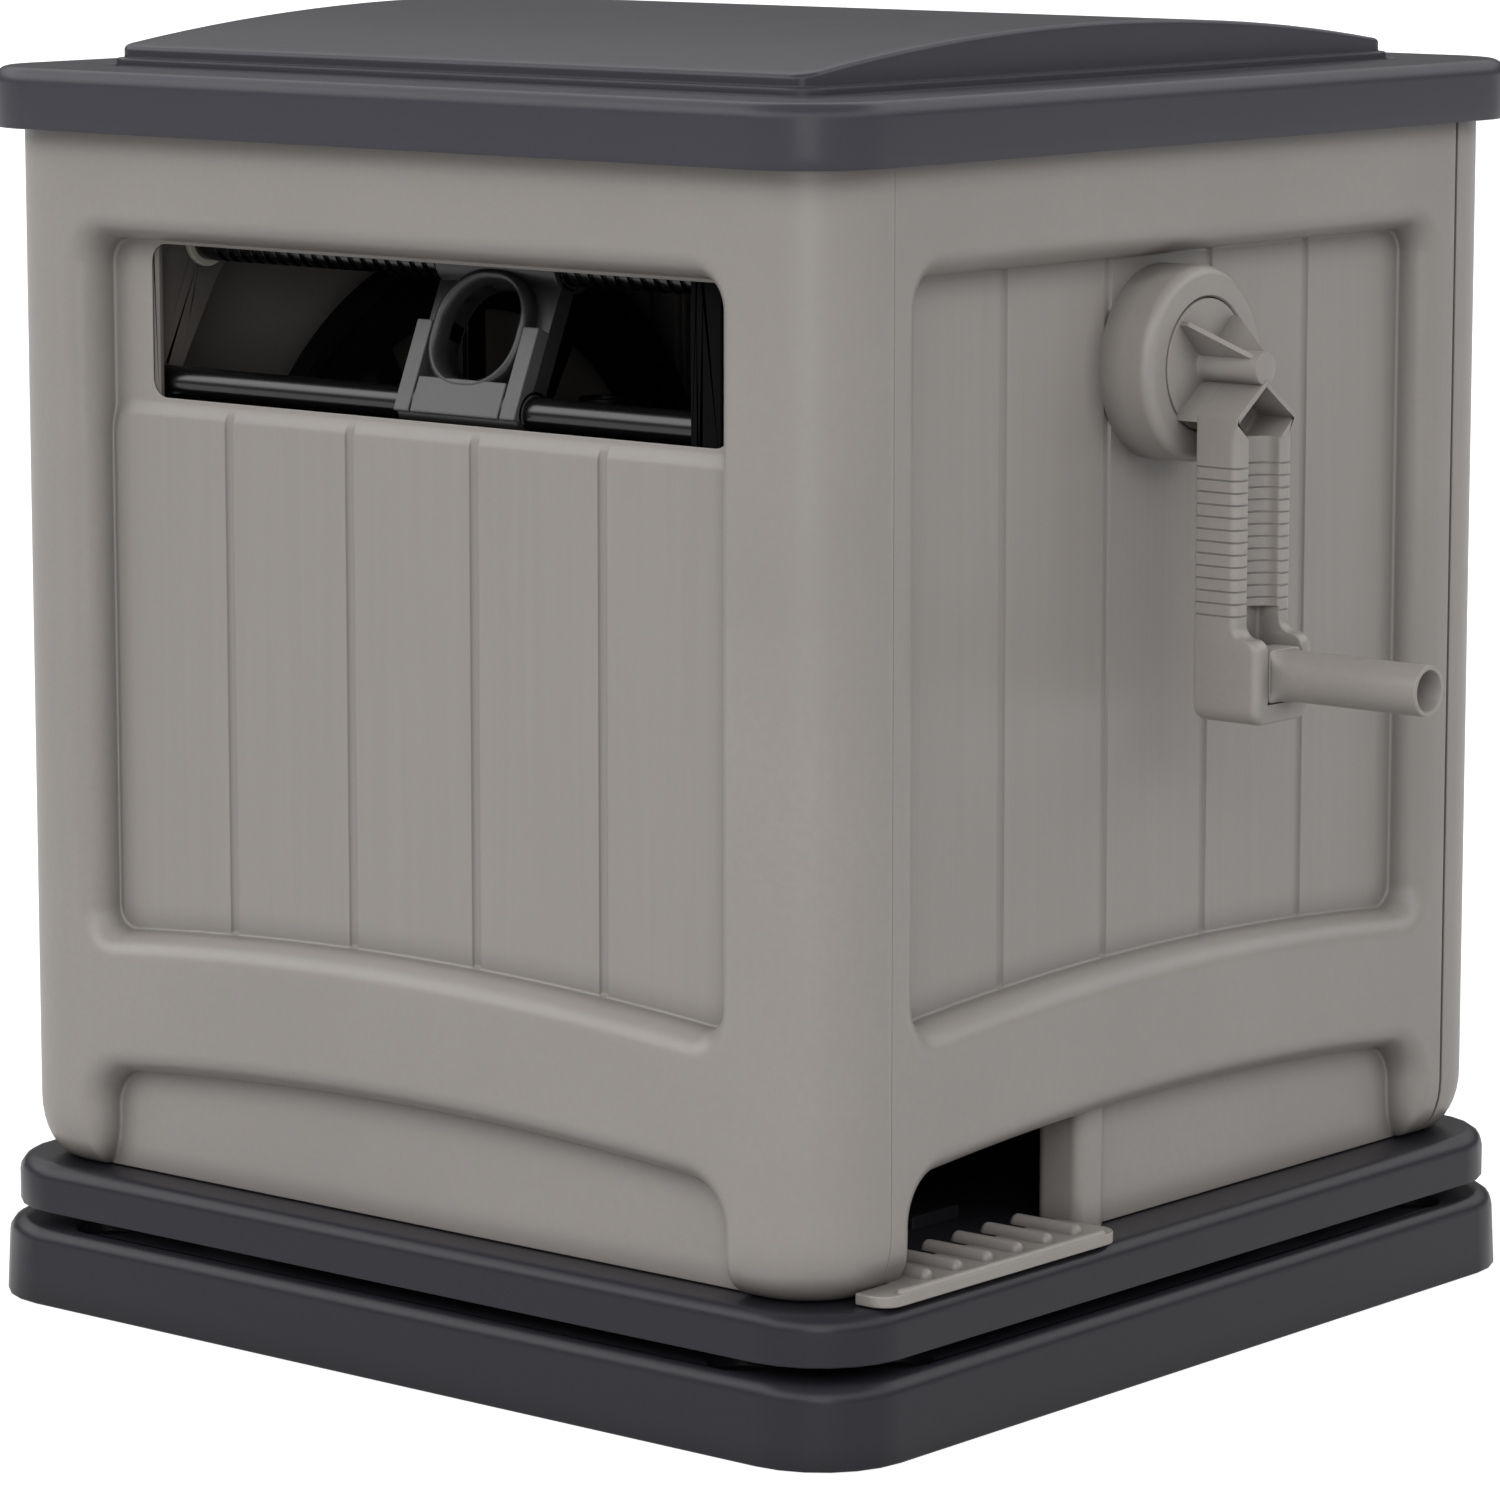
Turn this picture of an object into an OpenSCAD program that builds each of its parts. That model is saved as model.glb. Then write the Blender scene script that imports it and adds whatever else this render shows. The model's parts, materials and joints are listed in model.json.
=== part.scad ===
// Hose reel box on a swivel base: a square cabinet with a lid, a side crank, a geared reel and a level wind.
// Front with the hose slot faces -Y, the crank is on +X, the base stands on z = 0. Sizes in millimetres.

/* [Base plate] */
// Width and depth of the lower base plate at the floor
base_w = 560; // [420:5:760]
// Corner radius of both plates in plan
plate_r = 47; // [20:1:90]
// Height of the lower base plate
base_h = 39; // [25:1:60]
// How much the base plate narrows on each side towards its top
base_draft = 1.5; // [0:0.5:5]
// Rounding of the upper edge of both plates
plate_edge_r = 8; // [2:0.5:15]
// Wall of both plates
plate_wall = 4; // [2.5:0.5:8]
// Thickness of the base plate's skirt
base_skirt = 9; // [5:0.5:15]
// Thickness of the stiffening ribs
rib_t = 4; // [2:0.5:8]
// Distance of the ribs from the middle of the base plate
base_rib_at = 95; // [60:5:140]
// Diameter of the anchor holes
anchor_d = 9; // [5:0.5:14]
// Diameter of the recess round each anchor hole
anchor_recess_d = 30; // [16:1:40]
// Depth of the recess round each anchor hole
anchor_recess = 6; // [2:0.5:12]
// Diameter of the post under each anchor hole
anchor_post_d = 36; // [22:1:46]
// Distance of an anchor hole from the end of its edge
anchor_end = 75; // [50:5:110]
// Distance of an anchor hole from its edge
anchor_in = 24; // [19:1:40]

/* [Swivel] */
// Width and depth of the upper swivel plate
table_w = 550; // [410:5:750]
// Height of the underside of the swivel plate
table_z = 46; // [30:1:70]
// Height of the top of the swivel plate
table_top = 70; // [45:1:110]
// Radius of the ball race
race_r = 170; // [90:5:230]
// Width of the solid band above the race
race_band = 24; // [16:1:40]
// Diameter of the bearing balls
ball_d = 10; // [6:0.5:14]
// Number of bearing balls
ball_count = 16; // [8:1:32]
// Running gap of the balls in their race
ball_gap = 0.3; // [0.2:0.05:0.5]
// Width of the ball cage
cage_w = 22; // [14:1:36]
// Height of the ball cage
cage_h = 3.6; // [2:0.2:5]
// Gap of a ball in its cage pocket
pocket_gap = 0.05; // [0.02:0.01:0.2]
// Diameter of the pivot bolt
pivot_d = 20; // [10:1:30]
// Diameter of the pivot bolt's head
pivot_head_d = 36; // [20:1:50]
// Height of the pivot bolt's head
pivot_head_h = 10; // [5:0.5:16]
// Diameter of the hub round the pivot
pivot_hub_d = 70; // [40:1:100]
// Outer diameter of the swivel bush
swivel_bush_d = 30; // [24:1:45]
// Collar diameter of the swivel bush
swivel_collar_d = 44; // [30:1:60]
// Collar height of the swivel bush
swivel_collar_h = 4; // [2:0.5:8]
// Outer diameter of the pivot washer
pivot_washer_d = 46; // [30:1:60]
// Thickness of the pivot washer
pivot_washer_h = 3; // [1.5:0.5:6]
// Width of the pivot nut across its flats
pivot_nut_d = 34; // [20:1:50]
// Height of the pivot nut
pivot_nut_h = 14; // [8:1:24]
// Running gap of every shaft in its bush, on the radius
run_gap = 0.06; // [0.03:0.01:0.1]
// Gap between faces that turn against each other
face_gap = 0.4; // [0.3:0.1:1]
// Length of a locating tab on the swivel plate
tab_len = 36; // [20:1:60]
// Thickness of a locating tab
tab_t = 5; // [3:0.5:8]
// Height of a locating tab
tab_h = 6; // [3:0.5:12]
// Gap between a locating tab and the flange under the feet
tab_gap = 0.8; // [0.3:0.1:5]
// Distance of the locating tabs from the middle, along
tab_y = 88; // [40:1:160]

/* [Cabinet] */
// Width of the cabinet, left to right
box_w = 526.6; // [400:0.2:700]
// Depth of the cabinet, front to back
box_d = 538.5; // [400:0.5:700]
// Corner radius of the cabinet in plan
box_r = 45; // [25:1:80]
// Wall of the panels
wall = 4; // [2.5:0.5:6]
// Height of the panel tops
box_top = 606; // [450:1:800]
// How far the feet are rounded in at the bottom
foot_round = 18; // [10:1:42]
// How high the rounding of the feet runs
foot_rise = 30; // [15:1:60]
// Width of the flange under the feet
foot_flange = 78; // [50:1:110]
// Distance of the panel seams from the cabinet's front and back
seam_in = 48.25; // [46:0.25:70]
// Gap in a panel seam
seam_gap = 0.8; // [0.4:0.1:3]
// Width of the inside flange at a seam
seam_flange = 24; // [14:1:40]
// Depth of the recessed fields
recess_depth = 18; // [8:0.5:30]
// Run of the sloped and rounded wall of a field
recess_run = 13.5; // [6:0.5:24]
// Distance of the plank field from the cabinet's corners
field_margin = 65.8; // [60:0.2:100]
// Top of the plank field
field_top = 529; // [380:1:700]
// Bottom of the plank field in the middle
field_bottom = 199; // [140:1:280]
// Corner radius of the fields
field_r = 12; // [4:1:30]
// Radius of the arches of the fields
arch_r = 2005; // [900:5:4000]
// How much narrower the apron field is on each side than the plank field
apron_inset = 13.5; // [0:0.5:40]
// Top of the apron field in the middle
apron_top = 129; // [100:1:180]
// Number of planks on each face
plank_count = 5; // [3:1:9]
// Width of a groove between planks
groove_w = 5; // [2:0.5:10]
// Depth of a groove between planks
groove_d = 2; // [0.5:0.25:3]
// Extra wall behind the edge of a field
field_back = 9; // [6:0.5:14]

/* [Hose slot and inlet] */
// How much the hose slot stops short of the plank field at its left end
slot_inset_left = 25.5; // [14:0.5:60]
// How much the hose slot stops short of the plank field at its right end
slot_inset_right = 5.5; // [4:0.5:60]
// Lower edge of the hose slot
slot_low = 453; // [300:1:600]
// Upper edge of the hose slot
slot_high = 527; // [350:1:680]
// Corner radius of the hose slot
slot_r = 9; // [3:1:20]
// Rear end of the inlet opening
inlet_back = 62; // [20:1:120]
// Gap between the inlet opening and the edge of the apron field
inlet_margin = 2; // [1:0.5:8]
// Width of the post beside the inlet opening
post_w = 21; // [10:1:40]
// How far the post stands proud of the apron
post_proud = 5; // [1:0.5:10]
// Depth of the post inside the panel
post_deep = 22; // [10:1:40]
// How far the ribbed step reaches out past the cabinet
step_out = 12; // [4:1:20]
// Thickness of the ribbed step
step_t = 5.5; // [3:0.5:10]
// Distance of the ribbed step's nose from the cabinet's front
step_in = 31.25; // [10:0.25:50]
// Length of the ribbed step's nose
step_nose = 25; // [10:1:40]
// Greatest width of the ribbed step's nose
step_nose_w = 24; // [10:1:30]
// Distance between tread ribs
tread_pitch = 22.5; // [12:0.5:32]
// Length of a tread rib
tread_len = 31; // [15:1:45]
// Width of a tread rib
tread_w = 4; // [2:0.5:8]
// Height of a tread rib
tread_h = 2; // [1:0.25:4]
// Distance of the tread ribs from the step's outer edge
tread_edge = 12; // [4:1:20]

/* [Lid] */
// How far the lid stands out past the cabinet's sides
lid_over_w = 8.8; // [5:0.2:16]
// How far the lid stands out past the cabinet's front and back
lid_over_d = 11.75; // [5:0.25:20]
// Lower edge of the lid
lid_low = 580.8; // [430:0.2:780]
// Wall of the lid
lid_wall = 4; // [2.5:0.5:6]
// Rounding of the lid's upper edge
lid_edge_r = 11; // [4:0.5:18]
// Distance of the raised panel from the lid's sides
crown_in_w = 55.1; // [30:0.1:100]
// Distance of the raised panel from the lid's front and back
crown_in_d = 55; // [30:1:100]
// Corner radius of the raised panel
crown_r = 10; // [4:1:30]
// Height of the raised panel's ridge above the lid's edge
crown_rise = 25.5; // [18:0.5:50]
// Radius of the raised panel's arch
crown_arch_r = 1556; // [900:2:3000]
// Width of the groove round the raised panel
crown_groove_w = 4; // [2:0.5:8]
// Depth of the groove round the raised panel
crown_groove = 1.2; // [0.5:0.1:2]
// Distance of the hinge axis behind the lid
hinge_back = 7.25; // [5:0.25:12]
// Distance of the hinge axis below the lid's lower edge
hinge_down = 9; // [8.5:0.5:16]
// Outer radius of the hinge knuckles
knuckle_r = 8; // [6:0.5:12]
// Diameter of the hinge pins
hinge_pin_d = 7; // [4:0.5:10]
// Distance of each hinge from the middle
hinge_x = 150; // [80:5:220]
// Width of a lid knuckle
knuckle_w = 30; // [15:1:50]
// Width of a cabinet knuckle
lug_w = 14; // [8:1:24]
// Thickness of the hinge webs
hinge_web = 7; // [4:0.5:12]
// Length of the hinge web on the lid's edge
hinge_web_h = 18; // [8:1:20]
// Length of the hinge web on the rear panel
lug_web_h = 30; // [16:1:60]

/* [Reel] */
// Height of the reel's axis
reel_z = 338; // [240:1:480]
// Radius of the reel's flanges
flange_r = 178; // [120:1:220]
// Distance of the left flange from the left panel
reel_gap_left = 49.3; // [44:0.1:80]
// Distance of the right flange from the right panel
reel_gap_right = 57.3; // [52:0.1:90]
// Thickness of a flange disc
flange_t = 4; // [3:0.5:8]
// Width of a flange rim, along the axis
rim_t = 12; // [8:0.5:20]
// Width of a flange rim, along the radius
rim_w = 8; // [5:0.5:14]
// Inner radius of the flange's rim band
band_r = 139; // [90:1:170]
// Inner radius of the flange's windows
window_r = 92; // [60:1:120]
// Number of spokes between the windows
spoke_count = 12; // [6:1:18]
// Width of a spoke
spoke_w = 14; // [8:1:24]
// Outer radius of the drum
drum_r = 76; // [50:1:110]
// Wall of the drum
drum_wall = 4; // [2.5:0.5:8]
// Outer diameter of the hubs inside the flanges
hub_d = 58; // [48:1:80]
// Diameter of the right journal
journal_d = 50; // [36:1:60]
// Bore of the right journal
journal_bore = 34; // [10:1:40]
// Outer diameter of the bearing bushes
bearing_d = 64; // [56:1:84]
// Outer diameter of the bearing bosses on the panels
boss_d = 76; // [66:1:100]
// Length of a bearing boss
boss_len = 24; // [16:1:40]
// Pitch radius of the tie screws in the drum
tie_r = 66; // [40:1:90]
// Number of tie screws on each flange
tie_count = 6; // [3:1:12]
// Diameter of the screw posts in the drum
tie_post_d = 14; // [10:1:20]
// Length of the screw posts in the drum
tie_post_len = 26; // [16:1:40]

/* [Fasteners] */
// Shank diameter of the screws
screw_d = 5; // [3:0.5:8]
// Head diameter of the screws
screw_head_d = 10; // [6:0.5:16]
// Head height of the screws
screw_head_h = 3.2; // [2:0.2:6]
// Shank length of the screws in the drum
tie_len = 20; // [12:1:40]
// Lowest panel screw above the swivel plate
panel_screw_low = 70; // [40:5:120]
// Highest panel screw below the panel tops
panel_screw_top = 76; // [60:2:120]
// Number of panel screws on each seam
panel_screw_count = 3; // [2:1:5]
// Shank length of the foot screws
foot_screw_len = 16; // [8:1:24]
// Distance of a foot screw from the side of the cabinet
foot_screw_in = 62; // [45:1:75]

/* [Water way] */
// Outer diameter of the inlet spindle
spindle_d = 34; // [26:1:44]
// Bore of the water way
water_d = 18; // [12:1:24]
// How far the inlet spindle's bearing reaches in past the left flange
spindle_reach = 44; // [30:1:60]
// Distance of the inlet branch from the left panel
branch_gap = 25.3; // [22:0.1:30]
// Outer diameter of the inlet branch
branch_d = 30; // [22:1:36]
// Diameter of the hose thread
thread_d = 26.4; // [18:0.2:34]
// Length of the hose thread
thread_len = 16; // [8:1:30]
// Length of the inlet branch below the axis
branch_len = 62; // [40:1:120]
// Diameter of the spindle's round foot on the panel
spindle_foot_d = 60; // [44:1:80]
// Thickness of the spindle's round foot
spindle_foot_t = 5; // [3:0.5:10]
// Cord diameter of the seals
seal_d = 3; // [2:0.25:4]
// Distance between the seals
seal_pitch = 9; // [6:0.5:14]
// Outer diameter of the supply socket
socket_d = 46; // [40:1:60]
// Length of the supply socket
socket_len = 60; // [44:1:80]
// Outer diameter of the supply tube
tube_d = 26; // [22:0.5:32]
// Length of the hose outlet past the drum
outlet_len = 24; // [14:1:40]
// Diameter of the collar of the hose outlet
outlet_collar_d = 38; // [30:1:50]
// Thickness of the collar of the hose outlet
outlet_collar_t = 5; // [3:0.5:8]

/* [Gear drive] */
// Pitch diameter of the reel gear
reel_gear_d = 200; // [160:2:240]
// Teeth of the reel gear
reel_teeth = 50; // [30:1:70]
// Teeth of the crank pinion
crank_teeth = 20; // [17:1:30]
// Teeth of the level-wind screw gear
screw_teeth = 18; // [17:1:30]
// Pressure angle of the teeth
pressure_angle = 20; // [14.5:0.5:25]
// Play between the teeth at the pitch line
backlash = 0.6; // [0.3:0.1:1]
// Distance of the gears from the right flange
gear_gap = 6; // [4.5:0.5:12]
// Face width of the gears
gear_t = 16; // [8:1:24]
// Web thickness of the gears
gear_web = 6; // [4:0.5:12]
// Rim of the gears below the teeth
gear_rim = 7; // [5:0.5:12]
// Diameter of the gear hubs
gear_hub_d = 36; // [30:1:50]
// Diameter of the idler axle
idler_axle_d = 14; // [8:1:20]
// Thickness of the idler clip
clip_t = 2; // [1:0.25:4]
// Diameter of the idler clip
clip_d = 24; // [18:1:34]

/* [Crank] */
// Outer diameter of the crank housing
housing_d = 92; // [70:1:130]
// Depth of the crank housing in front of the plank field
housing_len = 28; // [18:1:45]
// Wall of the bosses on the side panel
boss_wall = 9; // [5:0.5:14]
// Thickness of the housing's back
housing_back = 6; // [4:0.5:12]
// Radius of the housing screws
housing_screw_r = 34; // [24:1:40]
// Diameter of the crank shaft
shaft_d = 18; // [12:1:24]
// Outer diameter of the crank bush
bush_d = 26; // [22:1:36]
// Distance of the crank bush from the gears
bush_gap = 6; // [2:0.5:12]
// Diameter of the crank disc
disc_d = 62; // [50:1:76]
// Thickness of the crank disc
disc_t = 9; // [5:0.5:14]
// Running gap round the crank disc
disc_gap = 0.6; // [0.3:0.1:1.5]
// Distance of the crank arm from its disc
arm_gap = 10.3; // [4:0.1:20]
// Width of the crank arm
arm_w = 45; // [38:1:60]
// Depth of the crank arm
arm_t = 24; // [20:1:36]
// Distance of the grip's pivot from the crank axis
arm_len = 142; // [130:1:190]
// Length of the crank arm below the grip's pivot
arm_end = 22.5; // [18:0.5:40]
// Height of the fork at the arm's end
fork_h = 40; // [34:1:50]
// How far the fork stands out from the arm's face
fork_out = 12.7; // [6:0.1:20]
// Height of the window over the grip's root
arm_window = 12; // [4:1:24]
// Height of the sloped roof at the arm's head
arm_roof = 16; // [10:1:24]
// Thickness of the sloped roof
roof_t = 3; // [3:0.5:8]
// Diameter of the centre peg
peg_d = 16; // [12:1:24]
// Length of the centre peg in front of the disc
peg_len = 34; // [20:1:50]
// Reach of the gussets from the crank axis
gusset_r = 29; // [14:1:30]
// Depth of the gussets at their outer end
gusset_h = 4; // [1:0.5:10]
// Thickness of the gussets
gusset_t = 2.5; // [1.5:0.5:5]
// Number of grooves across the arm's walls
arm_groove_count = 13; // [0:1:20]
// Distance between grooves across the arm's walls
arm_groove_pitch = 5.75; // [3:0.05:7]
// Width of a groove across the arm's walls
arm_groove_w = 1.5; // [0.75:0.25:3]
// Depth of a groove across the arm's walls
arm_groove_d = 0.6; // [0.3:0.1:2]
// Distance of the first groove from the crank axis
arm_groove_from = 45; // [34:1:60]
// Outer diameter of the grip
grip_d = 24; // [18:0.5:30]
// Length of the grip from its pivot
grip_len = 93; // [70:1:98]
// Bore of the grip's open end
grip_bore = 19; // [12:0.5:20]
// Depth of the grip's open end
grip_open = 60; // [20:1:64]
// How much wider the grip's root is on each side than the grip
root_step = 0.5; // [0.25:0.25:2]
// Radius of the grip's root about its pivot
root_r = 12.4; // [9:0.2:13]
// Running gap between the folding grip and the arm
fold_gap = 0.4; // [0.3:0.1:1]
// Diameter of the grip pin
pin_d = 8; // [5:0.5:12]
// Skin of the arm over the blind end of the grip pin
pin_skin = 4; // [2:0.5:6]
// Diameter of the washer under the crank screw
crank_washer_d = 28; // [20:1:34]
// Thickness of the washer under the crank screw
crank_washer_t = 2; // [1:0.25:3]
// Length of the crank screw
crank_screw_len = 22; // [12:1:40]

/* [Level wind] */
// Distance of the guide rod from the front panel
rod_in = 13.25; // [12.5:0.25:30]
// Height of the guide rod
rod_z = 459; // [330:1:600]
// Diameter of the guide rod
rod_d = 16; // [10:1:24]
// Distance of the lead screw behind the guide rod
lead_back = 29; // [10:1:50]
// Height of the lead screw
lead_z = 527; // [380:1:680]
// Diameter of the lead screw
lead_d = 22; // [16:1:30]
// Diameter of the lead screw's journals
lead_journal_d = 14; // [10:1:20]
// Distance between the rings of the lead screw's track
lead_pitch = 8; // [5:0.5:14]
// Width of the lead screw's track
lead_track_w = 3.5; // [1.5:0.25:6]
// Depth of the lead screw's track
lead_track_d = 1.6; // [0.5:0.1:3]
// Distance of the left and right brackets from the side panels
bracket_gap = 55.3; // [52:0.1:90]
// Thickness of the brackets
bracket_t = 7; // [5:0.5:12]
// Outer diameter of the bushes in the brackets
lead_bush_d = 22; // [18:1:30]
// Collar diameter of the bushes in the brackets
lead_collar_d = 28; // [24:1:36]
// Collar thickness of the bushes in the brackets
lead_collar_t = 3; // [2:0.5:6]
// Rim of the brackets round the rod and the screw
bracket_rim = 9; // [6:0.5:14]
// Width of the bracket foot on the front panel
bracket_foot_w = 18; // [14:1:30]
// Thickness of the bracket foot
bracket_foot_t = 6; // [4:0.5:10]
// Height of the bracket foot
bracket_foot_h = 95.5; // [60:1:110]
// Position of the hose guide from the middle
guide_x = 24; // [-90:1:90]
// Width of the hose guide
guide_w = 76; // [50:1:110]
// Wall of the hose guide's sleeves
sleeve_wall = 4; // [3:0.5:9]
// Running gap of the hose guide on the rod and the screw
guide_gap = 0.35; // [0.3:0.05:0.6]
// Thickness of the hose guide's plate
guide_t = 10; // [6:0.5:16]
// Width of the hose eye
eye_w = 46; // [28:1:60]
// Height of the hose eye
eye_h = 48; // [26:1:50]
// Corner radius of the hose eye
eye_r = 20; // [6:1:22]
// Width of the lip round the hose eye
lip_w = 5; // [3:0.5:10]
// Height of the lip round the hose eye
lip_h = 6; // [2:0.5:10]
// Diameter of the follower that rides on the screw's track
follower_d = 9; // [6:0.5:16]
// Diameter of the follower's cap
follower_cap_d = 18; // [12:1:26]
// Thickness of the follower's cap
follower_cap_t = 4; // [2:0.5:8]

/* [Hidden] */
overrun = 1;
corner_steps = 6;
round_steps = 4;
arch_steps = 10;
flank_steps = 4;
addendum_share = 1;
dedendum_share = 1.25;
hex_sides = 6;
$fn = 64;
// Field wall profile: depth and run as shares, from the floor out to the face
wall_depth_shares = [1, 0.62, 0.39, 0.18, 0.045, 0, -0.06];
wall_run_shares = [0, 0.15, 0.24, 0.42, 0.70, 1, 1.1];

ball_z = (base_h + table_z) / 2;
box_z = table_top;
half_w = box_w / 2;
half_d = box_d / 2;
floor_x = half_w - recess_depth;
floor_y = half_d - recess_depth;
inner_x = floor_x - wall;
inner_y = floor_y - wall;
anchor_along = base_w / 2 - anchor_end;
anchor_across = base_w / 2 - anchor_in;
tab_x = half_w - foot_flange - tab_gap - tab_t / 2;
seam_y = half_d - seam_in;
field_half = min(half_w, half_d) - field_margin;
apron_half = field_half - apron_inset;
slot_left = field_half - slot_inset_left;
slot_right = field_half - slot_inset_right;
plank_pitch = 2 * field_half / plank_count;
panel_screw_pitch = (box_top - box_z - panel_screw_low - panel_screw_top) / (panel_screw_count - 1);
lid_w = box_w + 2 * lid_over_w;
lid_d = box_d + 2 * lid_over_d;
crown_half_w = lid_w / 2 - crown_in_w;
crown_half_d = lid_d / 2 - crown_in_d;
lid_edge_top = box_top + lid_wall;
ridge_z = lid_edge_top + crown_rise;
hinge_y = lid_d / 2 + hinge_back;
hinge_out = hinge_y - half_d;
hinge_z = lid_low - hinge_down;
flange_left = inner_x - reel_gap_left;
flange_right = inner_x - reel_gap_right;
spindle_in = flange_left - spindle_reach;
branch_x = inner_x - branch_gap;
bracket_x = inner_x - bracket_gap;
rod_y = inner_y - rod_in;
lead_y = rod_y - lead_back;
gear_x = flange_right + gear_gap;
gear_out = gear_x + gear_t;
bush_in = gear_out + bush_gap;
// Size of the gear teeth, as pitch diameter over number of teeth
gear_module = reel_gear_d / reel_teeth;
reel_gear_r = reel_gear_d / 2;
crank_gear_r = gear_module * crank_teeth / 2;
screw_gear_r = gear_module * screw_teeth / 2;
crank_z = reel_z + reel_gear_r + crank_gear_r;
// The idler is the smallest gear that bridges its neighbours, one mesh distance away from both
lead_dx = -lead_y;
lead_dz = lead_z - crank_z;
lead_dist = sqrt(lead_dx * lead_dx + lead_dz * lead_dz);
idler_teeth = ceil(lead_dist / gear_module - (crank_teeth + screw_teeth) / 2);
idler_gear_r = gear_module * idler_teeth / 2;
mesh_a = crank_gear_r + idler_gear_r;
mesh_b = idler_gear_r + screw_gear_r;
idler_along = (mesh_a * mesh_a - mesh_b * mesh_b + lead_dist * lead_dist) / (2 * lead_dist);
idler_off = sqrt(max(0, mesh_a * mesh_a - idler_along * idler_along));
idler_y = (lead_dx * idler_along - lead_dz * idler_off) / lead_dist;
idler_z = crank_z + (lead_dz * idler_along + lead_dx * idler_off) / lead_dist;
crank_turn = mesh_turn(90, 0, reel_teeth, crank_teeth);
idler_dir = atan2(idler_z - crank_z, idler_y);
idler_turn = mesh_turn(idler_dir, crank_turn, crank_teeth, idler_teeth);
screw_dir = atan2(lead_z - idler_z, -lead_y - idler_y);
screw_turn = mesh_turn(screw_dir, idler_turn, idler_teeth, screw_teeth);
housing_face = floor_x + housing_len;
disc_x = housing_face - disc_t;
arm_x = housing_face + arm_gap;
arm_face = arm_x + arm_t;
grip_z = crank_z - arm_len;
roof_top = crank_z - peg_d / 2 + gusset_t;
eave_z = roof_top - arm_roof;
// The folded grip lies half sunk in the arm's channel
grip_x = arm_face;
grip_end = grip_x + grip_len;
channel_r = grip_d / 2 + fold_gap;
root_w = grip_d + 2 * root_step;
root_swing = sqrt(fork_out * fork_out + root_r * root_r);
window_z = grip_z + root_swing + arm_window;
lean = atan2(lead_y - rod_y, lead_z - rod_z);
guide_span = sqrt((lead_y - rod_y) * (lead_y - rod_y) + (lead_z - rod_z) * (lead_z - rod_z));
eye_mid = (rod_d / 2 + guide_span - lead_d / 2) / 2;
step_x = half_w + step_out;
step_front = half_d - step_in;
// The step's nose keeps clear of the rounded foot beside it
foot_face = half_w - foot_round * (1 - sqrt(1 - pow(max(0, 1 - step_t / foot_rise), 2)));
nose_w = min(step_nose_w, step_x - foot_face - seam_gap);
tread_count = floor((step_front - step_nose - inlet_back) / tread_pitch);

// Turn of the second gear so that its gap takes the first gear's tooth
function mesh_turn(dir, turn, teeth, other) =
    dir + 180 - 180 / other + (dir - turn) * teeth / other;

// Closed loop round a rounded rectangle
function rr_loop(hx, hy, r) = [
    for (q = [0:3])
        for (i = [0:corner_steps])
            [(q == 0 || q == 3 ? 1 : -1) * (hx - r) + r * cos(90 * q + 90 * i / corner_steps),
             (q < 2 ? 1 : -1) * (hy - r) + r * sin(90 * q + 90 * i / corner_steps)]
];

// Field outline at an offset: straight sides, arched lower edge
function field_loop(off) =
    let (c = field_half - field_r, low = field_bottom - c * c / (2 * arch_r), r = field_r + off)
    concat(
        [for (i = [0:arch_steps]) let (u = c * (2 * i / arch_steps - 1))
            [u, field_bottom - off - u * u / (2 * arch_r)]],
        [for (i = [1:corner_steps]) [c + r * sin(90 * i / corner_steps),
            low + field_r - r * cos(90 * i / corner_steps)]],
        [for (i = [0:corner_steps]) [c + r * cos(90 * i / corner_steps),
            field_top - field_r + r * sin(90 * i / corner_steps)]],
        [for (i = [0:corner_steps]) [-c - r * sin(90 * i / corner_steps),
            field_top - field_r + r * cos(90 * i / corner_steps)]],
        [for (i = [0:corner_steps - 1]) [-c - r * cos(90 * i / corner_steps),
            low + field_r - r * sin(90 * i / corner_steps)]]
    );

// Apron outline at an offset: arched upper edge, open at the bottom
function apron_loop(off) =
    let (c = apron_half - field_r, high = apron_top - c * c / (2 * arch_r), r = field_r + off)
    concat(
        [[-apron_half - off, box_z - overrun], [apron_half + off, box_z - overrun]],
        [for (i = [0:corner_steps]) [c + r * cos(90 * i / corner_steps),
            high - field_r + r * sin(90 * i / corner_steps)]],
        [for (i = [1:arch_steps - 1]) let (u = c * (1 - 2 * i / arch_steps))
            [u, apron_top + off - u * u / (2 * arch_r)]],
        [for (i = [0:corner_steps]) [-c - r * sin(90 * i / corner_steps),
            high - field_r + r * cos(90 * i / corner_steps)]]
    );

// Angle between a tooth's middle and its flank at a radius
function roll(r, rb) = let (a = acos(min(1, rb / r))) tan(a) * 180 / PI - a;
function flank(r, rp, rb, half) = half + roll(rp, rb) - roll(r, rb);

// Outline of an involute gear with one tooth at a given angle
function gear_loop(teeth, turn) =
    let (rp = gear_module * teeth / 2, rb = rp * cos(pressure_angle),
         ra = rp + addendum_share * gear_module, rf = rp - dedendum_share * gear_module,
         r0 = max(rb, rf), half = (PI * gear_module / 2 - backlash) / (2 * rp) * 180 / PI)
    [for (t = [0:teeth - 1]) let (mid = turn + 360 * t / teeth) for (p = concat(
        [[rf, -flank(r0, rp, rb, half)]],
        [for (k = [0:flank_steps]) let (r = r0 + (ra - r0) * k / flank_steps) [r, -flank(r, rp, rb, half)]],
        [for (k = [0:flank_steps]) let (r = ra - (ra - r0) * k / flank_steps) [r, flank(r, rp, rb, half)]],
        [[rf, flank(r0, rp, rb, half)]]))
        [p[0] * cos(mid + p[1]), p[0] * sin(mid + p[1])]];

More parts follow.
